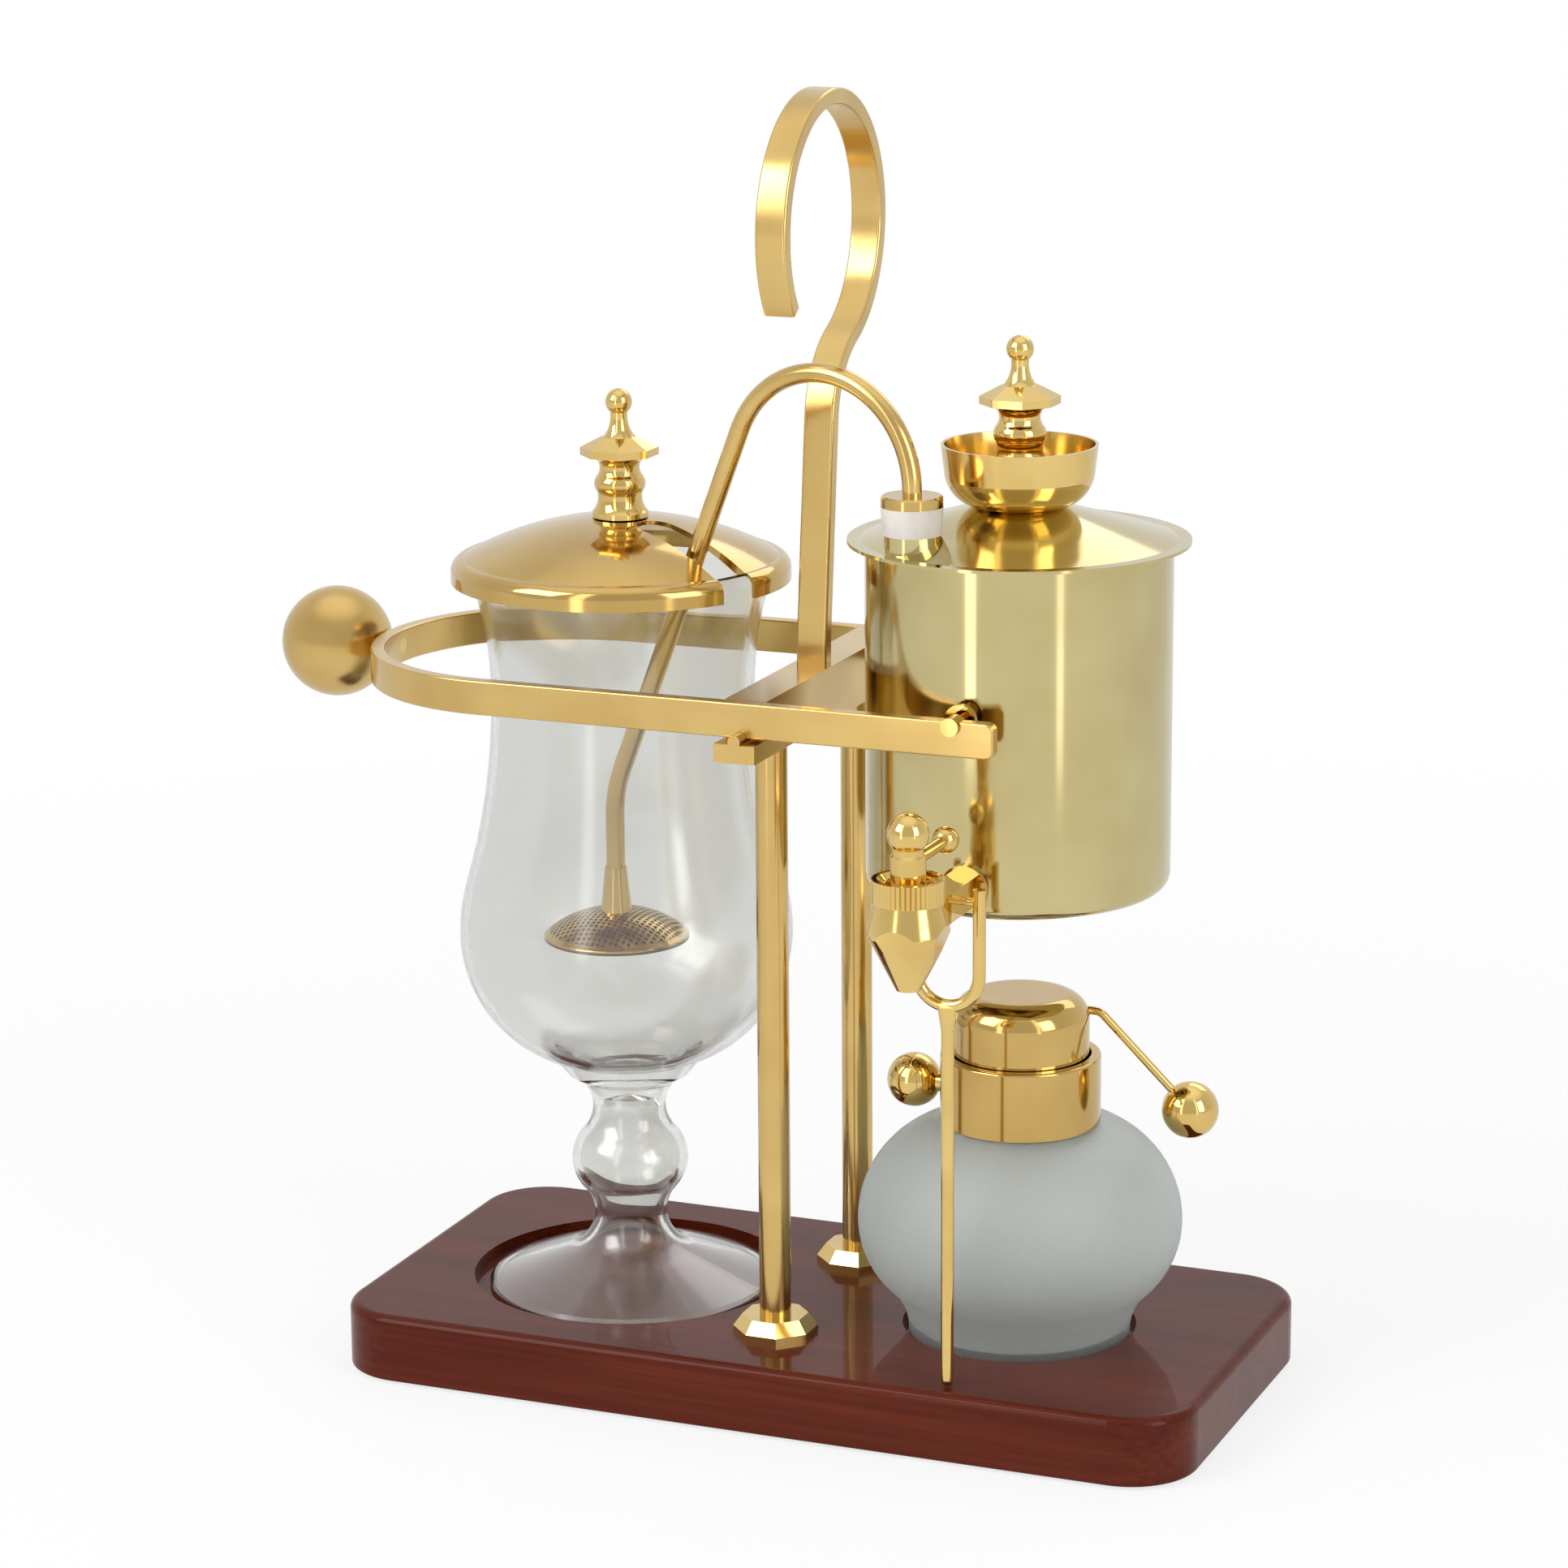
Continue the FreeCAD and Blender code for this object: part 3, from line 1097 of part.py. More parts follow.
def make_burner():
    """The frosted jar, the brass head with its hinge ears, the wick in its tube and the side knob."""
    jar = new_body("burner_jar", "burner_x", "0", "recess_floor")
    foot_axis = "(jar_out + jar_foot_round)"
    tangent = (f"jar_low_in + jar_share * {foot_axis}", "jar_z - jar_share * jar_span")
    inner = (f"jar_low_in + jar_inner_share * {foot_axis}", "jar_z - jar_inner_share * jar_span")
    bore_r = "(jar_neck_r - glass)"
    inner_top = f"jar_z + sqrt((jar_high - glass)^2 - ({bore_r} - jar_high_in)^2)"
    turn(jar, [
        ("0", "0"), ("jar_foot_r - jar_foot", "0"), ("jar_foot_r", "jar_foot", "-jar_foot_round"),
        (*tangent, "jar_low"), ("jar_r", "jar_z", "jar_high"), ("head_r", "jar_shoulder"),
        ("jar_neck_r", "jar_shoulder"),
        ("jar_neck_r", "jar_shoulder + jar_mouth"), (bore_r, "jar_shoulder + jar_mouth"),
        (bore_r, inner_top, "-(jar_high - glass)"), ("jar_r - glass", "jar_z", "-(jar_low - glass)"),
        (*inner, "jar_foot_round + glass"), ("jar_foot_r - glass", "jar_foot + jar_floor"),
        ("0", "jar_foot + jar_floor"),
    ])
    head = new_body("burner_collar", "burner_x", "0", "recess_floor")
    turn(head, [
        ("jar_neck_r + head_fit", "head_z"), ("head_r", "head_z"), ("head_r", "head_top - head_ease", "head_ease"),
        ("head_r - head_ease", "head_top"), ("head_r - head_wall", "head_top"), ("head_r - head_wall", "deck_top"), ("wick_tube_r", "deck_top"),
        ("wick_tube_r", "deck_top - head_deck"), ("jar_neck_r + head_fit", "deck_top - head_deck"),
    ])
    inside = "knuckle_width / 2 + ear_gap"
    back = "hinge_y + knuckle_r"
    root = "head_r - head_wall / 2"
    ear = [
        (root, "deck_top - head_deck"), (back, "hinge_z - 2 * knuckle_r"), (back, "hinge_z"),
        ("hinge_y", "hinge_z + knuckle_r"), ("hinge_y - knuckle_r", "hinge_z"), (root, "hinge_z - knuckle_r"),
    ]
    pad(head, "YZ_Plane", ear, "ear_thick", inside)
    pad(head, "YZ_Plane", ear, "ear_thick", f"-({inside}) - ear_thick")
    bore(head, "YZ_Plane", "hinge_y", "hinge_z", "pin_r")
    bore(head, "YZ_Plane", "0", "knob_z", "knob_stub_r", "knob_grip", "-head_r + knob_grip")
    pin = doc.addObject("Part::Cylinder", "snuffer_pin")
    pin.setExpression("Radius", bound("pin_r"))
    pin.setExpression("Height", bound(f"2 * ({inside} + ear_thick)"))
    pin.Placement.Rotation = FreeCAD.Rotation(FreeCAD.Vector(0, 1, 0), 90)
    place(pin, f"burner_x - ({inside} + ear_thick)", "hinge_y", "recess_floor + hinge_z")
    node(pin, "snuffer_pin")

    tube = new_body("wick_tube", "burner_x", "0", "recess_floor + deck_top")
    wick_r = "(wick_tube_r - wick_tube_wall)"
    turn(tube, [
        (wick_r, "-(head_deck + wick_tube_down)"), ("wick_tube_r", "-(head_deck + wick_tube_down)"),
        ("wick_tube_r", "wick_tube_up"), (wick_r, "wick_tube_up"),
    ])
    wick = new_body("wick", "burner_x", "0", "recess_floor + deck_top + wick_tube_up")
    turn(wick, [
        ("0", "-wick_drop"), (wick_r, "-wick_drop"), (wick_r, "wick_up - wick_ease"),
        (f"{wick_r} - wick_ease", "wick_up"), ("0", "wick_up"),
    ])
    knob = new_body("carry_knob", "burner_x", "0", "recess_floor + knob_z")
    knob.Placement.Rotation = FreeCAD.Rotation(FreeCAD.Vector(0, 1, 0), -90)
    meet = "knob_x - sqrt(knob_r^2 - knob_stub_r^2)"
    turn(knob, [
        ("0", "head_r - knob_grip"), ("knob_stub_r", "head_r - knob_grip"), ("knob_stub_r", meet, "knob_r"),
        ("knob_r", "knob_x", "knob_r"), ("0", "knob_x + knob_r"),
    ])


def make_snuffer():
    """The dome cap hinged at the back of the burner's head, and its rod with a ball."""
    cap = new_body("snuffer_cap", "burner_x", "0", "recess_floor")
    crown, inner = "(cap_side_r - cap_round)", "(cap_side_r - cap_wall)"
    turn(cap, [
        (inner, "deck_top"), ("cap_side_r", "deck_top"), ("cap_side_r", "cap_top - cap_round", "cap_round"),
        (crown, "cap_top"), ("0", "cap_top"), ("0", "cap_top - cap_wall"),
        (crown, "cap_top - cap_wall", "-(cap_round - cap_wall)"), (inner, "cap_top - cap_round"),
    ])
    root = "cap_side_r - cap_wall / 2"
    pad(cap, "YZ_Plane", [
        (root, "tongue_z"), ("hinge_y - knuckle_r", "tongue_z"), ("hinge_y - knuckle_r", "hinge_z - knuckle_r / 2"),
        ("hinge_y - knuckle_r / 2", "hinge_z - knuckle_r"),
        ("hinge_y + knuckle_r / 2", "hinge_z - knuckle_r"), ("hinge_y + knuckle_r", "hinge_z"),
        ("hinge_y + knuckle_r", "tongue_z"), ("hinge_y", "tongue_z + tongue"), (root, "tongue_z + tongue"),
    ], "knuckle_width", both_ways=True)
    bore(cap, "YZ_Plane", "hinge_y", "hinge_z", "pin_r + run_fit")
    bore(cap, "YZ_Plane", "rod_y", "rod_z", "rod_r", "cap_side_r", "cap_side_r")

    x, y, z = value("burner_x"), value("rod_y"), value("recess_floor + rod_z")
    wall = math.sqrt((value("cap_side_r - cap_wall")) ** 2 - (y + value("rod_r")) ** 2)
    slant, bend = math.radians(value("rod_angle")), value("rod_bend_r")
    start = FreeCAD.Vector(x + wall - value("cap_wall"), y, z)
    out = FreeCAD.Vector(x + wall + value("rod_start"), y, z)
    below = out - FreeCAD.Vector(0, 0, bend)
    halfway = below + FreeCAD.Vector(math.sin(slant / 2), 0, math.cos(slant / 2)) * bend
    leave = below + FreeCAD.Vector(math.sin(slant), 0, math.cos(slant)) * bend
    slope = FreeCAD.Vector(math.cos(slant), 0, -math.sin(slant))
    ball = leave + slope * ((x + value("rod_ball_x") - leave.x) / slope.x)
    lever = rod([line(start, out), arc(out, halfway, leave), line(leave, ball)], value("rod_r"))
    shaped("snuffer_lever", lever.fuse(Part.makeSphere(value("rod_ball_r"), ball)).removeSplitter())


def check(pieces):
    """Stops where an object failed or a sub-part's shape is missing or broken."""
    for item in doc.Objects:
        if "Invalid" in item.State or "Error" in item.State:
            raise RuntimeError(f"{item.Name} failed: {item.State}")
    for piece in pieces:
        if piece.Shape.isNull() or not piece.Shape.isValid() or not piece.Shape.Solids:
            raise RuntimeError(f"{piece.Label} has no sound shape")


fill_sheet()
make_board()
make_column("front", "-column_y")
make_column("rear", "column_y")
make_fixings()
make_crossbar()
make_hook()
make_arm()
make_boiler()
make_filler()
make_tap()
make_prop()
make_siphon()
make_goblet()
make_lid()
make_burner()
make_snuffer()
doc.recompute()
check(NODES)
os.makedirs("parts", exist_ok=True)
for piece in NODES:
    piece.Shape.exportStep(f"parts/{piece.Label}.step")
    print(f"{piece.Label}: {len(piece.Shape.Solids)} solid(s), {piece.Shape.Volume / 1000:.2f} cm3")
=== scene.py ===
import logging
import math
from dataclasses import dataclass
from enum import Enum

import bmesh
import bpy
from mathutils import Matrix, Vector


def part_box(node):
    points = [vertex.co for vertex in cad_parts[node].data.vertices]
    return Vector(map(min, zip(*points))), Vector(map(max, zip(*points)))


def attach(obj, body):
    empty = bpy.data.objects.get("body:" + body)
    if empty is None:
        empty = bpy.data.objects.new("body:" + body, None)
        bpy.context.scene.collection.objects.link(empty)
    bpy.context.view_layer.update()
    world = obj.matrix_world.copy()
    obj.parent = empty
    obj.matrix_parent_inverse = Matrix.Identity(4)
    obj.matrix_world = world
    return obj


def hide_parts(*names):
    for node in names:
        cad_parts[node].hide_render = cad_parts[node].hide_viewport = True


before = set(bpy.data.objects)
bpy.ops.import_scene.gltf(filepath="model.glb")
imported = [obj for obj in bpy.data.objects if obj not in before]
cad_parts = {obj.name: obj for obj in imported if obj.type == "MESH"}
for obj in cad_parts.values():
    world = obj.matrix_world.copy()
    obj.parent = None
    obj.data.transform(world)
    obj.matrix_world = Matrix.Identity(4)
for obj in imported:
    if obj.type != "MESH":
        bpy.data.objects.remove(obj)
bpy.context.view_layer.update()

log = logging.getLogger("siphon_coffee_maker")

Triple = tuple[float, float, float]
Colour = tuple[float, float, float, float]
Socket = bpy.types.NodeSocket

WHITE: Colour = (1.0, 1.0, 1.0, 1.0)

# A Mix node's sockets share their names, so they are told apart by number
VALUE_A, VALUE_B, VALUE_OUT = 2, 3, 0
COLOUR_A, COLOUR_B, COLOUR_OUT = 6, 7, 2


def tint(red: int, green: int, blue: int) -> Colour:
    """Turns a display colour into the linear colour that shaders use.

    Args:
        red: display red, 0 to 255.
        green: display green, 0 to 255.
        blue: display blue, 0 to 255.

    Returns:
        The linear colour with full alpha.
    """
    linear = []
    for level in (red, green, blue):
        share = level / 255
        # A display's curve: straight near black, and a power above
        linear.append(share / 12.92 if share <= 0.04045 else ((share + 0.055) / 1.055) ** 2.4)
    return (linear[0], linear[1], linear[2], 1.0)


def fill(node: bpy.types.Node, **values: float | Triple | Colour) -> bpy.types.Node:
    """Sets a node's inputs by their names.

    Args:
        node: the node.
        values: the value of each named input, with _ for a space.

    Returns:
        The same node.
    """
    for name, value in values.items():
        node.inputs[name.replace("_", " ")].default_value = value
    return node


class Grain(Enum):
    """How fast a surface changes along X, Y and Z, in steps per metre."""

    UPRIGHT = (700.0, 700.0, 5.0)
    LEVEL = (5.0, 5.0, 900.0)
    ACROSS = (700.0, 5.0, 700.0)
    STRIP = (900.0, 7.0, 7.0)
    EVEN = (260.0, 260.0, 260.0)


class Tree:
    """A node tree with short ways to add and join its nodes."""

    def __init__(self, tree: bpy.types.NodeTree) -> None:
        """Takes hold of the tree.

        Args:
            tree: the node tree of a group, a material or a world.
        """
        self.nodes = tree.nodes
        self.links = tree.links

    def add(self, kind: str, **values: float | Triple | Colour) -> bpy.types.Node:
        """Adds a node of a kind and sets its inputs."""
        return fill(self.nodes.new(kind), **values)

    def link(self, source: Socket, target: Socket) -> None:
        """Joins an output to an input."""
        self.links.new(source, target)

    def calculate(
        self, operation: str, first: Socket, second: Socket | float, clamp: bool = False
    ) -> Socket:
        """Adds a Math node.

        Args:
            operation: what it does.
            first: its first value.
            second: its second value, which may be a plain number.
            clamp: whether the result stays between 0 and 1.

        Returns:
            The result.
        """
        node = self.add("ShaderNodeMath")
        node.operation = operation
        node.use_clamp = clamp
        self.link(first, node.inputs[0])
        if isinstance(second, float):
            node.inputs[1].default_value = second
        else:
            self.link(second, node.inputs[1])
        return node.outputs["Value"]

    def ranged(
        self, value: Socket, span: tuple[float, float], result: tuple[float, float],
        smooth: bool = False,
    ) -> Socket:
        """Carries a value from one range to another.

        Args:
            value: the value.
            span: the range that it comes from.
            result: the range that it goes to.
            smooth: whether it starts and ends softly.

        Returns:
            The value in the new range.
        """
        node = self.add(
            "ShaderNodeMapRange", From_Min=span[0], From_Max=span[1],
            To_Min=result[0], To_Max=result[1],
        )
        node.interpolation_type = "SMOOTHSTEP" if smooth else "LINEAR"
        self.link(value, node.inputs["Value"])
        return node.outputs["Result"]

    def vector(self, operation: str, first: Socket, second: Triple | None = None) -> bpy.types.Node:
        """Adds a Vector Math node.

        Args:
            operation: what it does.
            first: its first vector.
            second: its second vector, where it takes one.

        Returns:
            The node.
        """
        node = self.add("ShaderNodeVectorMath")
        node.operation = operation
        self.link(first, node.inputs[0])
        if second is not None:
            node.inputs[1].default_value = second
        return node

    def blend(self, share: Socket, first: Socket, second: Socket) -> Socket:
        """Mixes two shaders.

        Args:
            share: the share of the second one.
            first: the first shader.
            second: the second shader.

        Returns:
            The mixed shader.
        """
        mix = self.add("ShaderNodeMixShader")
        self.link(share, mix.inputs["Fac"])
        self.link(first, mix.inputs[1])
        self.link(second, mix.inputs[2])
        return mix.outputs["Shader"]


class Effects:
    """Shader node groups that several finishes share."""

    def __init__(self) -> None:
        """Builds the groups once."""
        self.lines = self._lines()
        self.patches = self._patches()
        self.wear = self._wear()

    @staticmethod
    def _group(name: str, inputs: dict[str, str], outputs: dict[str, str]) -> bpy.types.NodeTree:
        """Starts a group with named sockets.

        Args:
            name: the group's name.
            inputs: the kind of each named input.
            outputs: the kind of each named output.

        Returns:
            The group, with its input and output nodes.
        """
        group = bpy.data.node_groups.new(name, "ShaderNodeTree")
        for side, sockets in (("INPUT", inputs), ("OUTPUT", outputs)):
            for label, kind in sockets.items():
                group.interface.new_socket(label, in_out=side, socket_type=f"NodeSocket{kind}")
        group.nodes.new("NodeGroupInput")
        group.nodes.new("NodeGroupOutput")
        return group

    def _lines(self) -> bpy.types.NodeTree:
        """Builds fine drawn or polishing lines from a stretched vector.

        Returns:
            The group.
        """
        group = self._group("drawn_lines", {"Vector": "Vector"}, {"Value": "Float"})
        tree = Tree(group)
        noise = tree.add("ShaderNodeTexNoise", Scale=1.0, Detail=3.0, Roughness=0.6)
        tree.link(tree.nodes["Group Input"].outputs["Vector"], noise.inputs["Vector"])
        tree.link(noise.outputs["Fac"], tree.nodes["Group Output"].inputs["Value"])
        return group

    def _patches(self) -> bpy.types.NodeTree:
        """Builds soft patches, as of handling marks, at a scale in steps per metre.

        Returns:
            The group.
        """
        sockets = {"Vector": "Vector", "Scale": "Float"}
        group = self._group("soft_patches", sockets, {"Value": "Float"})
        tree = Tree(group)
        entry = tree.nodes["Group Input"].outputs
        noise = tree.add("ShaderNodeTexNoise", Detail=2.0, Roughness=0.45)
        tree.link(entry["Vector"], noise.inputs["Vector"])
        tree.link(entry["Scale"], noise.inputs["Scale"])
        spread = tree.ranged(noise.outputs["Fac"], span=(0.3, 0.7), result=(0.0, 1.0))
        tree.link(spread, tree.nodes["Group Output"].inputs["Value"])
        return group

    def _wear(self) -> bpy.types.NodeTree:
        """Builds a colour and a roughness from lines and patches.

        Returns:
            The group.
        """
        sockets = {
            "Lines": "Float", "Patches": "Float", "Light": "Color", "Dark": "Color",
            "Smooth": "Float", "Rough": "Float",
        }
        group = self._group("surface_wear", sockets, {"Colour": "Color", "Roughness": "Float"})
        tree = Tree(group)
        entry, leave = tree.nodes["Group Input"].outputs, tree.nodes["Group Output"].inputs
        both = tree.calculate("ADD", entry["Lines"], entry["Patches"])
        mean = tree.calculate("MULTIPLY", both, 0.5)
        colour = tree.add("ShaderNodeMix")
        colour.data_type = "RGBA"
        tree.link(entry["Patches"], colour.inputs["Factor"])
        tree.link(entry["Light"], colour.inputs[COLOUR_A])
        tree.link(entry["Dark"], colour.inputs[COLOUR_B])
        tree.link(colour.outputs[COLOUR_OUT], leave["Colour"])
        rough = tree.add("ShaderNodeMapRange")
        tree.link(mean, rough.inputs["Value"])
        tree.link(entry["Smooth"], rough.inputs["To Min"])
        tree.link(entry["Rough"], rough.inputs["To Max"])
        tree.link(rough.outputs["Result"], leave["Roughness"])
        return group


class Sheet(Tree):
    """A new material with its shader and Object coordinates at hand."""

    def __init__(self, name: str) -> None:
        """Starts the material.

        Args:
            name: the material's name.
        """
        self.material = bpy.data.materials.new(name)
        self.material.use_nodes = True
        super().__init__(self.material.node_tree)
        self.shader = self.nodes["Principled BSDF"]
        self.place = self.add("ShaderNodeTexCoord").outputs["Object"]

    def group(self, tree: bpy.types.NodeTree, **values: float | Colour) -> bpy.types.Node:
        """Adds a shared effect.

        Args:
            tree: the effect.
            values: the values of its inputs.

        Returns:
            The node.
        """
        node = self.add("ShaderNodeGroup")
        node.node_tree = tree
        return fill(node, **values)

    def stretched(self, scale: Triple) -> Socket:
        """Gives Object coordinates at a scale.

        Args:
            scale: steps per metre along X, Y and Z.

        Returns:
            The mapped vector.
        """
        mapping = self.add("ShaderNodeMapping", Scale=scale)
        self.link(self.place, mapping.inputs["Vector"])
        return mapping.outputs["Vector"]

    def lines(self, effects: Effects, scale: Triple) -> Socket:
        """Adds fine lines.

        Args:
            effects: the shared node groups.
            scale: steps per metre along X, Y and Z.

        Returns:
            Their value.
        """
        node = self.group(effects.lines)
        self.link(self.stretched(scale), node.inputs["Vector"])
        return node.outputs["Value"]

    def patches(self, effects: Effects, steps: float) -> Socket:
        """Adds soft patches.

        Args:
            effects: the shared node groups.
            steps: steps per metre.

        Returns:
            Their value.
        """
        node = self.group(effects.patches, Scale=steps)
        self.link(self.place, node.inputs["Vector"])
        return node.outputs["Value"]

    def wear(
        self, effects: Effects, lines: Socket, patches: Socket, **values: float | Colour
    ) -> None:
        """Gives the shader its colour and roughness.

        Args:
            effects: the shared node groups.
            lines: the value of the lines.
            patches: the value of the patches.
            values: the Light and Dark colours, and the Smooth and Rough roughness.
        """
        node = self.group(effects.wear, **values)
        self.link(lines, node.inputs["Lines"])
        self.link(patches, node.inputs["Patches"])
        self.link(node.outputs["Colour"], self.shader.inputs["Base Color"])
        self.link(node.outputs["Roughness"], self.shader.inputs["Roughness"])

    def relief(self, height: Socket, strength: float, depth: float) -> None:
        """Raises the surface by a height.

        Args:
            height: the height, 0 to 1.
            strength: the share of the relief that shows.
            depth: the relief's depth in metres.
        """
        bump = self.add("ShaderNodeBump", Strength=strength, Distance=depth)
        self.link(height, bump.inputs["Height"])
        self.link(bump.outputs["Normal"], self.shader.inputs["Normal"])

    def surface(self, shader: Socket) -> None:
        """Shows a shader in place of the plain one."""
        self.link(shader, self.nodes["Material Output"].inputs["Surface"])


@dataclass(frozen=True)
class Metal:
    """A brass or steel with its lines, its polish and a thin lacquer."""

    name: str
    light: Colour
    dark: Colour
    smooth: float
    rough: float
    grain: Grain
    relief: float = 0.02
    lacquer: float = 0.4
    marks: float = 38.0
    depth: float = 0.0002

    def material(self, effects: Effects) -> bpy.types.Material:
        """Builds the finish.

        Args:
            effects: the shared node groups.

        Returns:
            The material.
        """
        sheet = Sheet(self.name)
        lines = sheet.lines(effects, self.grain.value)
        sheet.wear(
            effects, lines, sheet.patches(effects, self.marks),
            Light=self.light, Dark=self.dark, Smooth=self.smooth, Rough=self.rough,
        )
        fill(sheet.shader, Metallic=1.0, Coat_Weight=self.lacquer, Coat_Roughness=self.smooth)
        sheet.relief(lines, self.relief, self.depth)
        return sheet.material


@dataclass(frozen=True)
class Lacquer:
    """Red-brown wood with long grain under a clear gloss coat."""

    name: str = "lacquered_wood"
    deep: Colour = tint(63, 18, 8)
    middle: Colour = tint(83, 28, 13)
    bright: Colour = tint(103, 41, 22)
    bands: Triple = (0.3, 0.5, 0.72)
    fibre: Triple = (9.0, 620.0, 620.0)
    figure: Triple = (5.0, 46.0, 60.0)
    fibre_share: float = 0.42
    relief: float = 0.04
    depth: float = 0.0003

    def material(self, effects: Effects) -> bpy.types.Material:
        """Builds the finish.

        Args:
            effects: the shared node groups.

        Returns:
            The material.
        """
        sheet = Sheet(self.name)
        figure = sheet.add("ShaderNodeTexNoise", Scale=1.0, Detail=4.0, Distortion=0.6)
        sheet.link(sheet.stretched(self.figure), figure.inputs["Vector"])
        mixed = sheet.add("ShaderNodeMix", Factor=self.fibre_share)
        sheet.link(figure.outputs["Fac"], mixed.inputs[VALUE_A])
        sheet.link(sheet.lines(effects, self.fibre), mixed.inputs[VALUE_B])
        grain = mixed.outputs[VALUE_OUT]
        ramp = sheet.add("ShaderNodeValToRGB")
        stops = ramp.color_ramp.elements
        stops[0].position, stops[0].color = self.bands[0], self.deep
        stops[1].position, stops[1].color = self.bands[2], self.bright
        stops.new(self.bands[1]).color = self.middle
        sheet.link(grain, ramp.inputs["Fac"])
        sheet.link(ramp.outputs["Color"], sheet.shader.inputs["Base Color"])
        fill(
            sheet.shader, Roughness=0.38, Specular_IOR_Level=0.04,
            Coat_Weight=0.6, Coat_Roughness=0.05, Coat_IOR=1.26,
        )
        sheet.relief(grain, self.relief, self.depth)
        return sheet.material


@dataclass(frozen=True)
class Glass:
    """Clear or frosted glass."""

    name: str
    colour: Colour
    roughness: float
    ior: float
    relief: float
    steps: float
    clear: float = 1.0
    gloss: float = 0.0
    gloss_ior: float = 1.7
    gloss_roughness: float = 0.19
    depth: float = 0.0005

    def material(self, effects: Effects) -> bpy.types.Material:
        """Builds the finish.

        Args:
            effects: the shared node groups.

        Returns:
            The material.
        """
        sheet = Sheet(self.name)
        fill(
            sheet.shader, Base_Color=self.colour, Roughness=self.roughness, IOR=self.ior,
            Transmission_Weight=self.clear, Coat_Weight=self.gloss, Coat_IOR=self.gloss_ior,
            Coat_Roughness=self.gloss_roughness,
        )
        sheet.relief(sheet.patches(effects, self.steps), self.relief, self.depth)
        self.let_light_through(sheet)
        return sheet.material

    def let_light_through(self, sheet: Sheet) -> None:
        """Lets the lamps reach what stands behind the glass.

        Args:
            sheet: the material that is made.
        """
        path = sheet.add("ShaderNodeLightPath")
        passing = sheet.add("ShaderNodeBsdfTransparent", Color=self.colour)
        shadow = path.outputs["Is Shadow Ray"]
        glass = sheet.shader.outputs["BSDF"]
        sheet.surface(sheet.blend(shadow, glass, passing.outputs["BSDF"]))


@dataclass(frozen=True)
class Silicone:
    """Milky silicone that lets a little light in."""

    name: str = "milky_silicone"
    light: Colour = tint(222, 216, 210)
    dark: Colour = tint(205, 198, 192)
    steps: float = 120.0
    reach: float = 0.004

    def material(self, effects: Effects) -> bpy.types.Material:
        """Builds the finish.

        Args:
            effects: the shared node groups.

        Returns:
            The material.
        """
        sheet = Sheet(self.name)
        patches = sheet.patches(effects, self.steps)
        sheet.wear(
            effects, patches, patches, Light=self.light, Dark=self.dark, Smooth=0.3, Rough=0.5
        )
        fill(sheet.shader, Subsurface_Weight=0.4, Subsurface_Radius=(self.reach,) * 3)
        return sheet.material


@dataclass(frozen=True)
class Fibre:
    """Cotton or rubber: a matt colour with fine fibres or pores."""

    name: str
    light: Colour
    dark: Colour
    grain: Triple
    relief: float = 0.6
    depth: float = 0.0004

    def material(self, effects: Effects) -> bpy.types.Material:
        """Builds the finish.

        Args:
            effects: the shared node groups.

        Returns:
            The material.
        """
        sheet = Sheet(self.name)
        lines = sheet.lines(effects, self.grain)
        sheet.wear(effects, lines, lines, Light=self.light, Dark=self.dark, Smooth=0.8, Rough=1.0)
        fill(sheet.shader, Sheen_Weight=0.3)
        sheet.relief(lines, self.relief, self.depth)
        return sheet.material


Finish = Metal | Lacquer | Glass | Silicone | Fibre

SATIN_TONES = tint(220, 188, 116), tint(206, 171, 100)
RICH_TONES = tint(207, 174, 102), tint(193, 158, 87)
BRIGHT_TONES = tint(232, 201, 124), tint(217, 183, 105)
PALE_TONES = tint(206, 192, 139), tint(195, 178, 123)
# Painted shade: dark brown brass tones that stand in for the shade under the filter gauze
PAINTED_SHADE_TONES = tint(104, 78, 40), tint(84, 60, 30)
STEEL_TONES = tint(188, 188, 186), tint(160, 160, 158)

SATIN_UPRIGHT = Metal("satin_brass_upright", *SATIN_TONES, 0.14, 0.22, Grain.UPRIGHT)
SATIN_LEVEL = Metal("satin_brass_level", *SATIN_TONES, 0.17, 0.26, Grain.LEVEL)
SATIN_ACROSS = Metal("satin_brass_across", *SATIN_TONES, 0.17, 0.26, Grain.ACROSS)
SATIN_STRIP = Metal("satin_brass_strip", *SATIN_TONES, 0.17, 0.26, Grain.STRIP)
SATIN_EVEN = Metal("satin_brass_even", *SATIN_TONES, 0.2, 0.28, Grain.EVEN)
PALE_BRASS = Metal("pale_brass", *PALE_TONES, 0.08, 0.15, Grain.LEVEL, relief=0.01)
POLISHED = Metal("polished_brass", *RICH_TONES, 0.08, 0.15, Grain.EVEN, relief=0.003)
SPUN = Metal("spun_brass", *BRIGHT_TONES, 0.1, 0.18, Grain.LEVEL, relief=0.004)
BRIGHT = Metal("bright_brass", *BRIGHT_TONES, 0.05, 0.1, Grain.EVEN, relief=0.003)
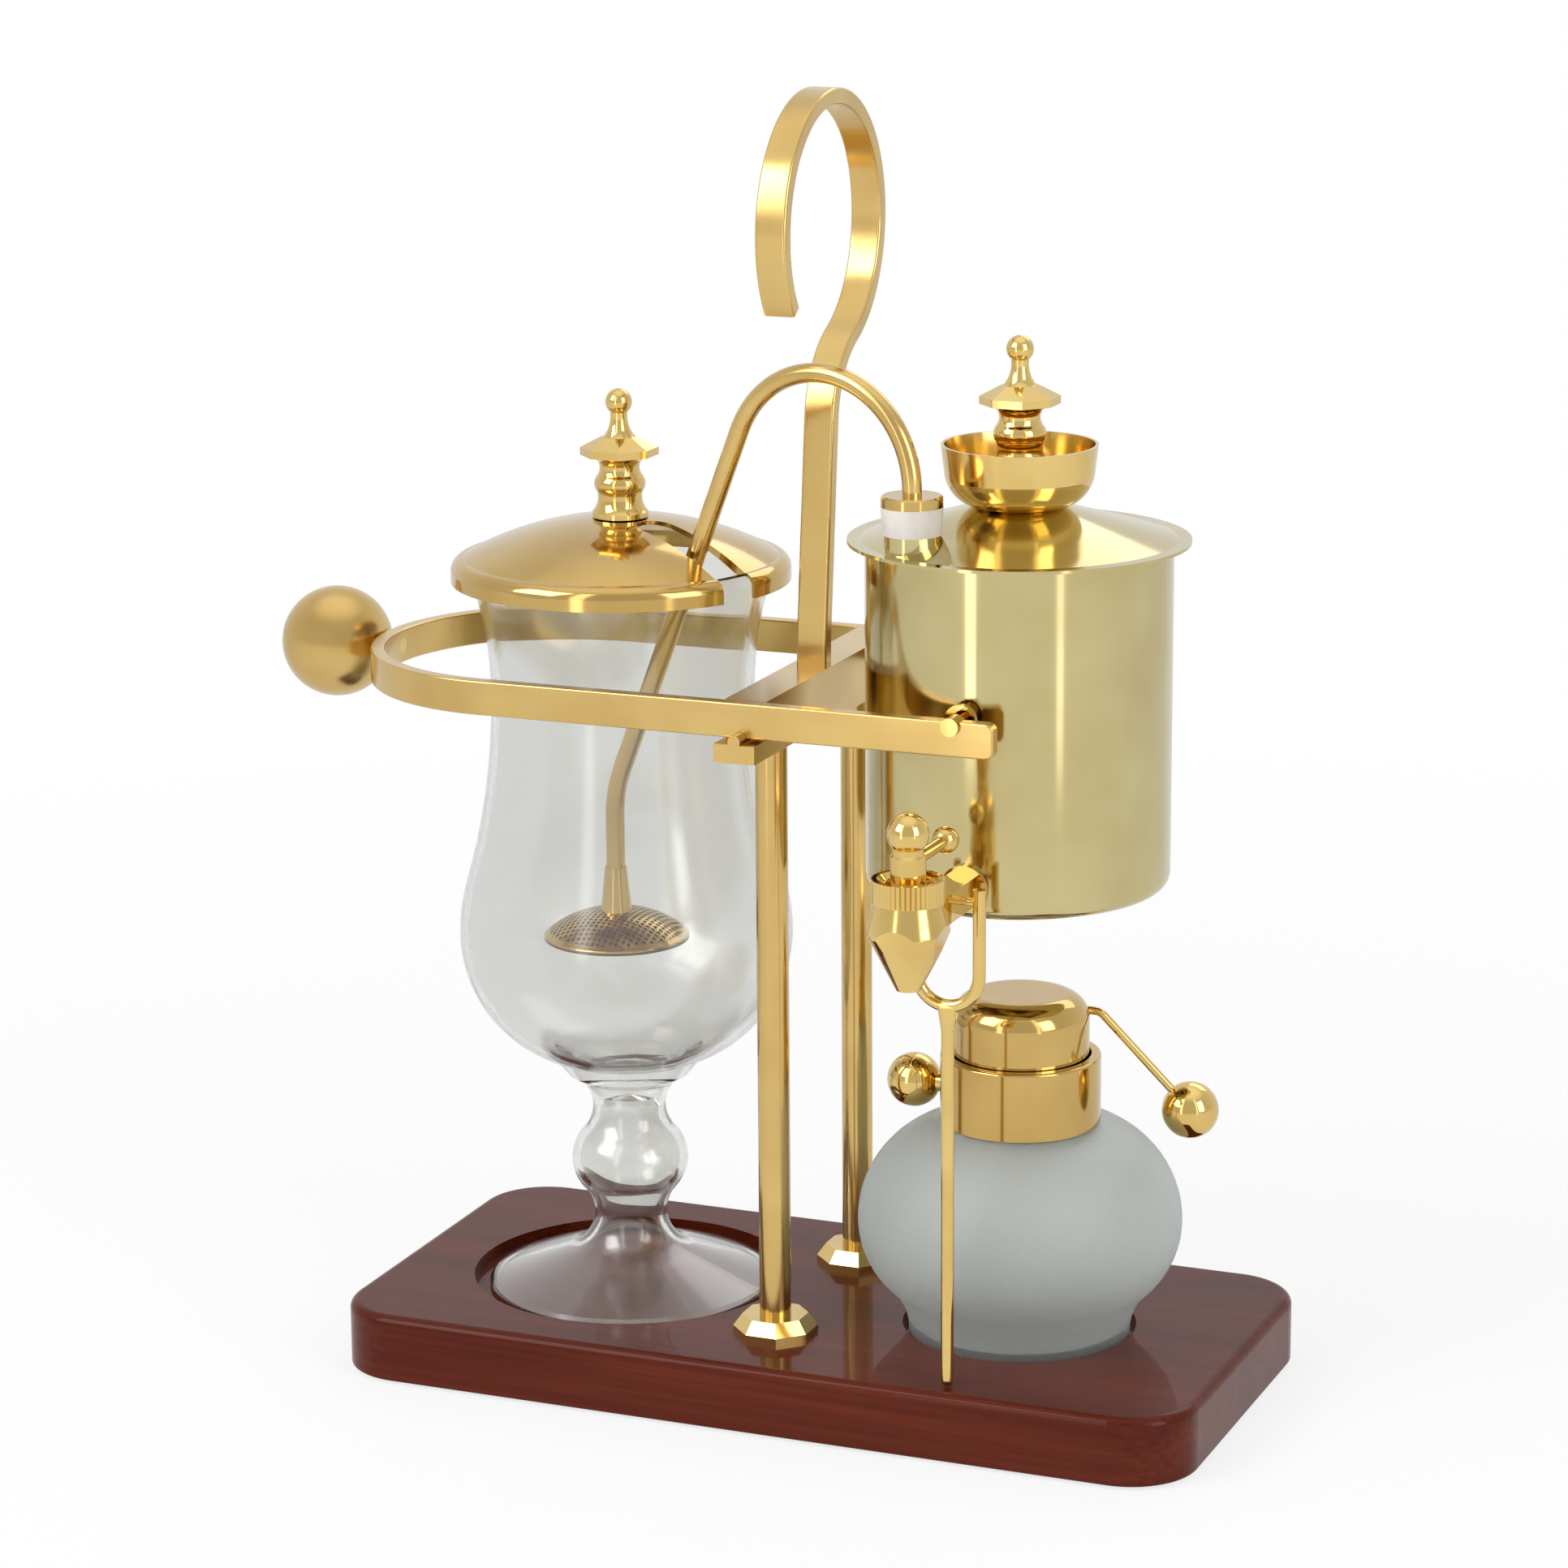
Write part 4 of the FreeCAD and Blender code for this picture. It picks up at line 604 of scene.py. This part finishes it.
# Painted shade for the filter's base plate: its darkness stands in for the shade seen through the
# gauze's holes
PAINTED_SHADE_BRASS = Metal("painted_shade_brass", *PAINTED_SHADE_TONES, 0.35, 0.5, Grain.EVEN)
STEEL = Metal("plain_steel", *STEEL_TONES, 0.25, 0.4, Grain.EVEN)
WOOD = Lacquer()
CLEAR_GLASS = Glass(
    "clear_glass", (0.8, 0.805, 0.785, 1.0), roughness=0.0, ior=1.2, relief=0.02, steps=30.0,
    gloss=1.0,
)
FROSTED_GLASS = Glass(
    "frosted_glass", (0.7, 0.725, 0.71, 1.0), roughness=0.55, ior=1.45, relief=0.25, steps=1800.0,
    clear=0.82,
)
MILKY = Silicone()
COTTON = Fibre("undyed_cotton", tint(236, 231, 218), tint(206, 198, 180), (900.0, 900.0, 260.0))
RUBBER = Fibre("black_rubber", tint(44, 42, 40), tint(30, 29, 28), (800.0, 800.0, 800.0))


class Workshop:
    """Keeps the finishes and dresses CAD nodes and new pieces."""

    def __init__(self) -> None:
        """Makes the shared effects."""
        self.effects = Effects()
        self.made: dict[str, bpy.types.Material] = {}

    def material(self, finish: Finish) -> bpy.types.Material:
        """Gives a finish's material, built once.

        Args:
            finish: the finish.

        Returns:
            The material.
        """
        if finish.name not in self.made:
            self.made[finish.name] = finish.material(self.effects)
        return self.made[finish.name]

    def dress(self, finish: Finish, *names: str) -> None:
        """Puts a finish on CAD nodes.

        Args:
            finish: the finish.
            names: the nodes that get it.
        """
        for name in names:
            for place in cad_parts[name].material_slots:
                place.material = self.material(finish)
            log.info("%s is in %s", name, finish.name)

    def piece(
        self, name: str, mesh: bmesh.types.BMesh, finish: Finish, body: str, smooth: bool = True
    ) -> bpy.types.Object:
        """Makes a new piece that rides on a body.

        Args:
            name: the piece's name.
            mesh: its shape, in the frame's place.
            finish: its finish.
            body: the CAD body that carries it.
            smooth: whether its faces are shaded smooth.

        Returns:
            The object.
        """
        data = bpy.data.meshes.new(name)
        for face in mesh.faces:
            face.smooth = smooth
        mesh.to_mesh(data)
        mesh.free()
        data.materials.append(self.material(finish))
        piece = bpy.data.objects.new(name, data)
        bpy.context.scene.collection.objects.link(piece)
        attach(piece, body)
        log.info("%s rides on %s", name, body)
        return piece


@dataclass
class Stand:
    """Board, columns, crossbar and carrying hook."""

    def dress(self, shop: Workshop) -> None:
        """Puts the finishes on the stand.

        Args:
            shop: the workshop.
        """
        shop.dress(WOOD, "base_board")
        shop.dress(RUBBER, "base_pad")
        shop.dress(SATIN_UPRIGHT, "column_front", "column_rear")
        shop.dress(SATIN_ACROSS, "crossbar", "pivot_pins")
        shop.dress(SATIN_STRIP, "handle_hook")
        shop.dress(BRIGHT, "foot_collar_front", "foot_collar_rear")
        shop.dress(STEEL, "column_screws", "column_washers", "crossbar_studs", "handle_screw")


@dataclass
class BalanceArm:
    """The bent strip with its counterweight."""

    def dress(self, shop: Workshop) -> None:
        """Puts the finishes on the arm.

        Args:
            shop: the workshop.
        """
        shop.dress(SATIN_LEVEL, "balance_arm")
        shop.dress(SATIN_EVEN, "counterweight_ball")
        shop.dress(BRIGHT, "counterweight_stud")


@dataclass
class Boiler:
    """Boiler, funnel, plug, tap and prop."""

    def dress(self, shop: Workshop) -> None:
        """Puts the finishes on the boiler's pieces.

        Args:
            shop: the workshop.
        """
        shop.dress(PALE_BRASS, "boiler_shell", "boiler_top", "siphon_neck")
        shop.dress(SPUN, "filler_funnel", "tap_body")
        shop.dress(BRIGHT, "filler_plug", "trunnion_front", "trunnion_rear", "prop_fork")
        shop.dress(BRIGHT, "tap_flange", "tap_pipe", "tap_nut", "tap_key", "tap_lever")
        shop.dress(MILKY, "filler_seal")


@dataclass
class Siphon:
    """Stopper, tube and perforated filter. The dome's sizes are in metres.

    A hole's half width sets its corners and the largest face that counts as a hole, and the
    rim's width sets how far its solid ring reaches in.
    """

    pitch: float = 0.0018
    hole: float = 0.0006
    hole_sides: int = 8
    corner_share: float = 0.55
    largest_share: float = 2.2
    sheet: float = 0.0005
    crown: float = 0.030
    flat: float = 0.0055
    bare: float = 0.0046
    rim: float = 0.0012
    ring_share: float = 1.6
    rim_turn: float = 0.0002
    rim_heights: tuple[float, float] = (0.0006, 0.0003)
    rim_steps: int = 72

    def dress(self, shop: Workshop) -> None:
        """Puts the finishes on the siphon and makes its fine filter dome.

        Args:
            shop: the workshop.
        """
        shop.dress(MILKY, "siphon_stopper")
        shop.dress(POLISHED, "siphon_cap", "filter_dome")
        shop.dress(SATIN_UPRIGHT, "siphon_tube", "filter_ferrule")
        # The base plate under the gauze gets painted shade, so that the gauze's holes look dark
        shop.dress(PAINTED_SHADE_BRASS, "filter_base")
        dome = shop.piece("filter_gauze", self.gauze(), POLISHED, "siphon", smooth=False)
        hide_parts("filter_dome")

    def level(self, out: float, edge: float, rise: float) -> float:
        """Gives the dome's height at a distance from its axis.

        Args:
            out: the distance from the axis.
            edge: the dome's radius.
            rise: the dome's height.

        Returns:
            The height above the rim.
        """
        if out <= self.flat:
            return rise
        chord = Vector((edge - self.flat, -rise))
        middle = Vector((self.flat + edge, rise)) / 2
        inward = Vector((-rise, -(edge - self.flat))).normalized()
        centre = middle + inward * math.sqrt(self.crown**2 - chord.length_squared / 4)
        across = min(out, edge) - centre.x
        return centre.y + math.sqrt(max(self.crown**2 - across**2, 0.0))

    def perforate(self, mesh: bmesh.types.BMesh, edge: float) -> None:
        """Makes a flat round sheet with eight-sided holes.

        Args:
            mesh: the mesh that gets it.
            edge: the dome's radius.
        """
        count = math.ceil(2 * edge / self.pitch)
        size = count * self.pitch / 2
        bmesh.ops.create_grid(mesh, x_segments=count, y_segments=count, size=size)
        cells = list(mesh.faces)
        bmesh.ops.inset_individual(
            mesh, faces=cells, thickness=self.pitch / 2 - self.hole, use_even_offset=True
        )
        corners = list(dict.fromkeys(vert for cell in cells for vert in cell.verts))
        bmesh.ops.bevel(
            mesh, geom=corners, affect="VERTICES", offset=self.hole * self.corner_share,
            segments=1, profile=0.5, material=-1,
        )
        largest = (self.largest_share * self.hole) ** 2
        gone = []
        for face in mesh.faces:
            out = face.calc_center_median().length
            hole = len(face.verts) == self.hole_sides and face.calc_area() < largest
            if (hole or out > edge - self.rim) and out >= self.bare - self.pitch:
                gone.append(face)
        bmesh.ops.delete(mesh, geom=gone, context="FACES")

    def border(self, mesh: bmesh.types.BMesh, edge: float, rise: float) -> None:
        """Adds the dome's solid rim.

        Args:
            mesh: the mesh that gets it.
            edge: the dome's radius.
            rise: the dome's height.
        """
        inner = edge - self.ring_share * self.rim
        high, low = self.rim_heights
        outline = [
            (inner, self.level(inner, edge, rise)), (edge - self.rim_turn, high), (edge, low),
            (edge, 0.0), (inner, 0.0),
        ]
        verts = [mesh.verts.new((out, 0.0, height)) for out, height in outline]
        sides = [mesh.edges.new(pair) for pair in zip(verts, verts[1:] + verts[:1])]
        bmesh.ops.spin(
            mesh, geom=verts + sides, cent=(0, 0, 0), axis=(0, 0, 1), angle=math.tau,
            steps=self.rim_steps, use_merge=True,
        )

    def gauze(self) -> bmesh.types.BMesh:
        """Makes the perforated dome with its rim, where the plain one is.

        Returns:
            The mesh.
        """
        low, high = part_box("filter_dome")
        centre = (low + high) / 2
        edge, rise = (high.x - low.x) / 2, high.z - low.z
        mesh = bmesh.new()
        self.perforate(mesh, edge)
        for vert in mesh.verts:
            vert.co.z = self.level(vert.co.xy.length, edge, rise) - self.sheet
        bmesh.ops.recalc_face_normals(mesh, faces=mesh.faces)
        whole = mesh.faces[:] + mesh.edges[:] + mesh.verts[:]
        bmesh.ops.solidify(mesh, geom=whole, thickness=-self.sheet)
        self.border(mesh, edge, rise)
        bmesh.ops.translate(mesh, verts=mesh.verts, vec=(centre.x, centre.y, low.z))
        bmesh.ops.recalc_face_normals(mesh, faces=mesh.faces)
        return mesh


@dataclass
class Goblet:
    """The glass, its lid and finial."""

    def dress(self, shop: Workshop) -> None:
        """Puts the finishes on the goblet.

        Args:
            shop: the workshop.
        """
        shop.dress(CLEAR_GLASS, "goblet")
        shop.dress(POLISHED, "goblet_lid", "lid_nut")
        shop.dress(BRIGHT, "lid_finial")


@dataclass
class Burner:
    """Spirit burner with its snuffer and twisted wick."""

    strands: int = 7
    strand_sides: int = 8
    twist: float = 900.0
    steps: int = 120
    tip: float = 0.55

    def dress(self, shop: Workshop) -> None:
        """Puts the finishes on the burner and makes its twisted wick.

        Args:
            shop: the workshop.
        """
        shop.dress(FROSTED_GLASS, "burner_jar")
        shop.dress(POLISHED, "burner_collar", "wick_tube", "snuffer_cap")
        shop.dress(BRIGHT, "carry_knob", "snuffer_lever")
        shop.dress(STEEL, "snuffer_pin")
        shop.dress(COTTON, "wick")
        wick = shop.piece("twisted_wick", self.wick(), COTTON, "burner")
        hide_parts("wick")

    def wick(self) -> bmesh.types.BMesh:
        """Twists strands into a wick, where the plain one is.

        Returns:
            The mesh.
        """
        low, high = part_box("wick")
        centre = (low + high) / 2
        outer = (high.x - low.x) / 2
        share = math.sin(math.pi / self.strands)
        strand = outer * share / (1 + share)
        reach = outer - strand
        mesh = bmesh.new()
        for turn in range(self.strands):
            angle = math.tau * turn / self.strands
            x, y = centre.x + reach * math.cos(angle), centre.y + reach * math.sin(angle)
            ring = bmesh.ops.create_circle(
                mesh, cap_ends=True, segments=self.strand_sides, radius=strand,
                matrix=Matrix.Translation((x, y, low.z)),
            )["verts"]
            spun = bmesh.ops.spin(
                mesh, geom=[ring[0].link_faces[0]], cent=(centre.x, centre.y, 0), axis=(0, 0, 1),
                angle=math.radians(self.twist), steps=self.steps,
                dvec=(0, 0, (high.z - low.z) / self.steps),
            )
            top = [item for item in spun["geom_last"] if isinstance(item, bmesh.types.BMVert)]
            bmesh.ops.scale(
                mesh, verts=top, vec=(self.tip, self.tip, 1.0),
                space=Matrix.Translation((-centre.x, -centre.y, 0)),
            )
        bmesh.ops.recalc_face_normals(mesh, faces=mesh.faces)
        return mesh


@dataclass(frozen=True)
class Lamp:
    """A soft rectangular lamp: its place and size in metres, and its power in watts."""

    name: str
    place: Triple
    wide: float
    tall: float
    power: float


LAMPS = (
    Lamp("key_lamp", (-1.15, -1.35, 1.45), 1.1, 1.3, 22.0),
    Lamp("side_lamp", (1.75, -0.75, 0.95), 0.8, 1.4, 13.0),
    Lamp("back_lamp", (0.2, 1.7, 1.5), 1.4, 0.8, 4.0),
    Lamp("left_strip", (-0.11, -0.6, 0.42), 0.1, 0.8, 0.42),
    Lamp("right_strip", (0.52, -0.4, 0.42), 0.06, 0.8, 0.17),
)


@dataclass
class Studio:
    """Camera, lamps, floor and background. Angles are in degrees and lengths in metres."""

    aim: Triple = (-0.011403, -0.000048, 0.191237)
    yaw: float = 22.387
    pitch: float = 13.978
    roll: float = -0.415
    distance: float = 1.521369
    lens: float = 110.92
    sensor: float = 36.0
    calm: str = "counterweight_ball"
    plain_fill: float = 0.6
    sky_tilt: float = 0.35
    floor_radius: float = 14.0
    floor_colour: Colour = (0.9, 0.9, 0.9, 1.0)

    def toward_camera(self, rise: float) -> Triple:
        """Gives the level direction of the camera, with a rise."""
        yaw = math.radians(self.yaw)
        return (math.sin(yaw), -math.cos(yaw), rise)

    def axes(self) -> tuple[Vector, Vector, Vector]:
        """Gives the camera's directions.

        Returns:
            Its right, up and back.
        """
        yaw, pitch, roll = (math.radians(angle) for angle in (self.yaw, self.pitch, self.roll))
        level = math.cos(pitch)
        back = Vector((math.sin(yaw) * level, -math.cos(yaw) * level, math.sin(pitch)))
        right = Vector((math.cos(yaw), math.sin(yaw), 0.0))
        up = back.cross(right)
        turn, lean = math.cos(roll), math.sin(roll)
        return right * turn + up * lean, up * turn - right * lean, back

    def camera(self) -> None:
        """Sets the camera at the photograph's place."""
        right, up, back = self.axes()
        data = bpy.data.cameras.new("photo_camera")
        data.lens = self.lens
        data.sensor_width = self.sensor
        camera = bpy.data.objects.new("photo_camera", data)
        place = Matrix.Translation(Vector(self.aim) + back * self.distance)
        camera.matrix_world = place @ Matrix((right, up, back)).transposed().to_4x4()
        bpy.context.scene.collection.objects.link(camera)
        bpy.context.scene.camera = camera

    def spared(self) -> bpy.types.Collection:
        """Gives the collection that keeps the lamps' own shapes off the calm ball.

        Returns:
            The collection, made once.
        """
        group = bpy.data.collections.get("calm_mirror")
        if group is None:
            group = bpy.data.collections.new("calm_mirror")
            group.objects.link(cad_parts[self.calm])
            group.collection_objects[0].light_linking.link_state = "EXCLUDE"
        return group

    def hang(self, lamp: Lamp) -> None:
        """Hangs a lamp that faces the object.

        Args:
            lamp: the lamp.
        """
        data = bpy.data.lights.new(lamp.name, "AREA")
        data.shape = "RECTANGLE"
        data.size = lamp.wide
        data.size_y = lamp.tall
        data.energy = lamp.power
        hung = bpy.data.objects.new(lamp.name, data)
        hung.location = lamp.place
        toward = Vector(self.aim) - Vector(lamp.place)
        hung.rotation_euler = toward.to_track_quat("-Z", "Y").to_euler()
        hung.light_linking.receiver_collection = self.spared()
        bpy.context.scene.collection.objects.link(hung)

    def graded(self, tree: Tree) -> Socket:
        """Gives the background's strength to metal: lighter behind the object and overhead.

        Args:
            tree: the world's node tree.

        Returns:
            The strength.
        """
        heading = tree.add("ShaderNodeTexCoord").outputs["Generated"]
        aim = tree.vector("DOT_PRODUCT", heading, self.toward_camera(self.sky_tilt))
        front = aim.outputs["Value"]
        sides = tree.ranged(front, span=(-0.9, 0.6), result=(0.84, 0.7), smooth=True)
        split = tree.add("ShaderNodeSeparateXYZ")
        tree.link(heading, split.inputs["Vector"])
        height = split.outputs["Z"]
        overhead = tree.ranged(height, span=(0.7, 1.0), result=(0.0, 0.5), smooth=True)
        return tree.calculate("ADD", sides, overhead)

    def world(self) -> None:
        """Makes the background white to the eye and glass, graded to metal, and a plain fill."""
        world = bpy.data.worlds.new("studio")
        world.use_nodes = True
        bpy.context.scene.world = world
        tree = Tree(world.node_tree)
        tree.nodes.clear()
        path = tree.add("ShaderNodeLightPath").outputs
        plain = tree.add("ShaderNodeBackground", Color=WHITE, Strength=self.plain_fill)
        metal = tree.add("ShaderNodeBackground", Color=WHITE)
        white = tree.add("ShaderNodeBackground", Color=WHITE)
        tree.link(self.graded(tree), metal.inputs["Strength"])
        lit = tree.blend(
            path["Is Glossy Ray"], plain.outputs["Background"], metal.outputs["Background"]
        )
        seen = tree.calculate("MAXIMUM", path["Is Camera Ray"], path["Is Transmission Ray"])
        shown = tree.blend(seen, lit, white.outputs["Background"])
        tree.link(shown, tree.add("ShaderNodeOutputWorld").inputs["Surface"])

    def mirrored(self, sheet: Sheet, path: bpy.types.Node) -> Socket:
        """Gives the floor's strength: white, and a little darker to metal behind the object.

        Args:
            sheet: the floor's material.
            path: its Light Path node.

        Returns:
            The strength.
        """
        heading = sheet.vector("NORMALIZE", sheet.place).outputs["Vector"]
        front = sheet.vector("DOT_PRODUCT", heading, self.toward_camera(0.0))
        side = sheet.ranged(front.outputs["Value"], span=(-0.6, 0.8), result=(0.78, 0.97))
        glossy, glass = path.outputs["Is Glossy Ray"], path.outputs["Is Transmission Ray"]
        chosen = sheet.add("ShaderNodeMix")
        chosen.inputs[VALUE_A].default_value = 1.0
        sheet.link(sheet.calculate("SUBTRACT", glossy, glass, clamp=True), chosen.inputs["Factor"])
        sheet.link(side, chosen.inputs[VALUE_B])
        return chosen.outputs[VALUE_OUT]

    def glow(self, sheet: Sheet) -> None:
        """Lets the floor look white where the eye, metal or glass sees it, and keep a shadow.

        Args:
            sheet: the floor's material.
        """
        path = sheet.add("ShaderNodeLightPath")
        seen = sheet.calculate("ADD", path.outputs["Is Camera Ray"], path.outputs["Is Glossy Ray"])
        every = sheet.calculate("ADD", seen, path.outputs["Is Transmission Ray"], clamp=True)
        away = sheet.vector("LENGTH", sheet.place).outputs["Value"]
        fade = sheet.ranged(away, span=(0.2, 0.9), result=(0.78, 1.0))
        share = sheet.calculate("MULTIPLY", every, fade)
        white = sheet.add("ShaderNodeEmission")
        sheet.link(self.mirrored(sheet, path), white.inputs["Strength"])
        lit = sheet.shader.outputs["BSDF"]
        sheet.surface(sheet.blend(share, lit, white.outputs["Emission"]))

    def floor(self) -> None:
        """Lays a pale floor that keeps a light shadow."""
        mesh = bmesh.new()
        bmesh.ops.create_circle(mesh, cap_ends=True, segments=64, radius=self.floor_radius)
        data = bpy.data.meshes.new("floor")
        mesh.to_mesh(data)
        mesh.free()
        sheet = Sheet("pale_floor")
        fill(sheet.shader, Base_Color=self.floor_colour, Roughness=0.9)
        self.glow(sheet)
        data.materials.append(sheet.material)
        floor = bpy.data.objects.new("floor", data)
        bpy.context.scene.collection.objects.link(floor)

    def build(self) -> None:
        """Sets up the whole studio."""
        self.camera()
        self.world()
        self.floor()
        for lamp in LAMPS:
            self.hang(lamp)
        bpy.context.scene.view_settings.view_transform = "Standard"


def main() -> None:
    """Builds the studio and dresses each sub-assembly."""
    logging.basicConfig(level=logging.INFO)
    Studio().build()
    shop = Workshop()
    for part in (Stand(), BalanceArm(), Boiler(), Siphon(), Goblet(), Burner()):
        part.dress(shop)


if __name__ == "__main__":
    main()
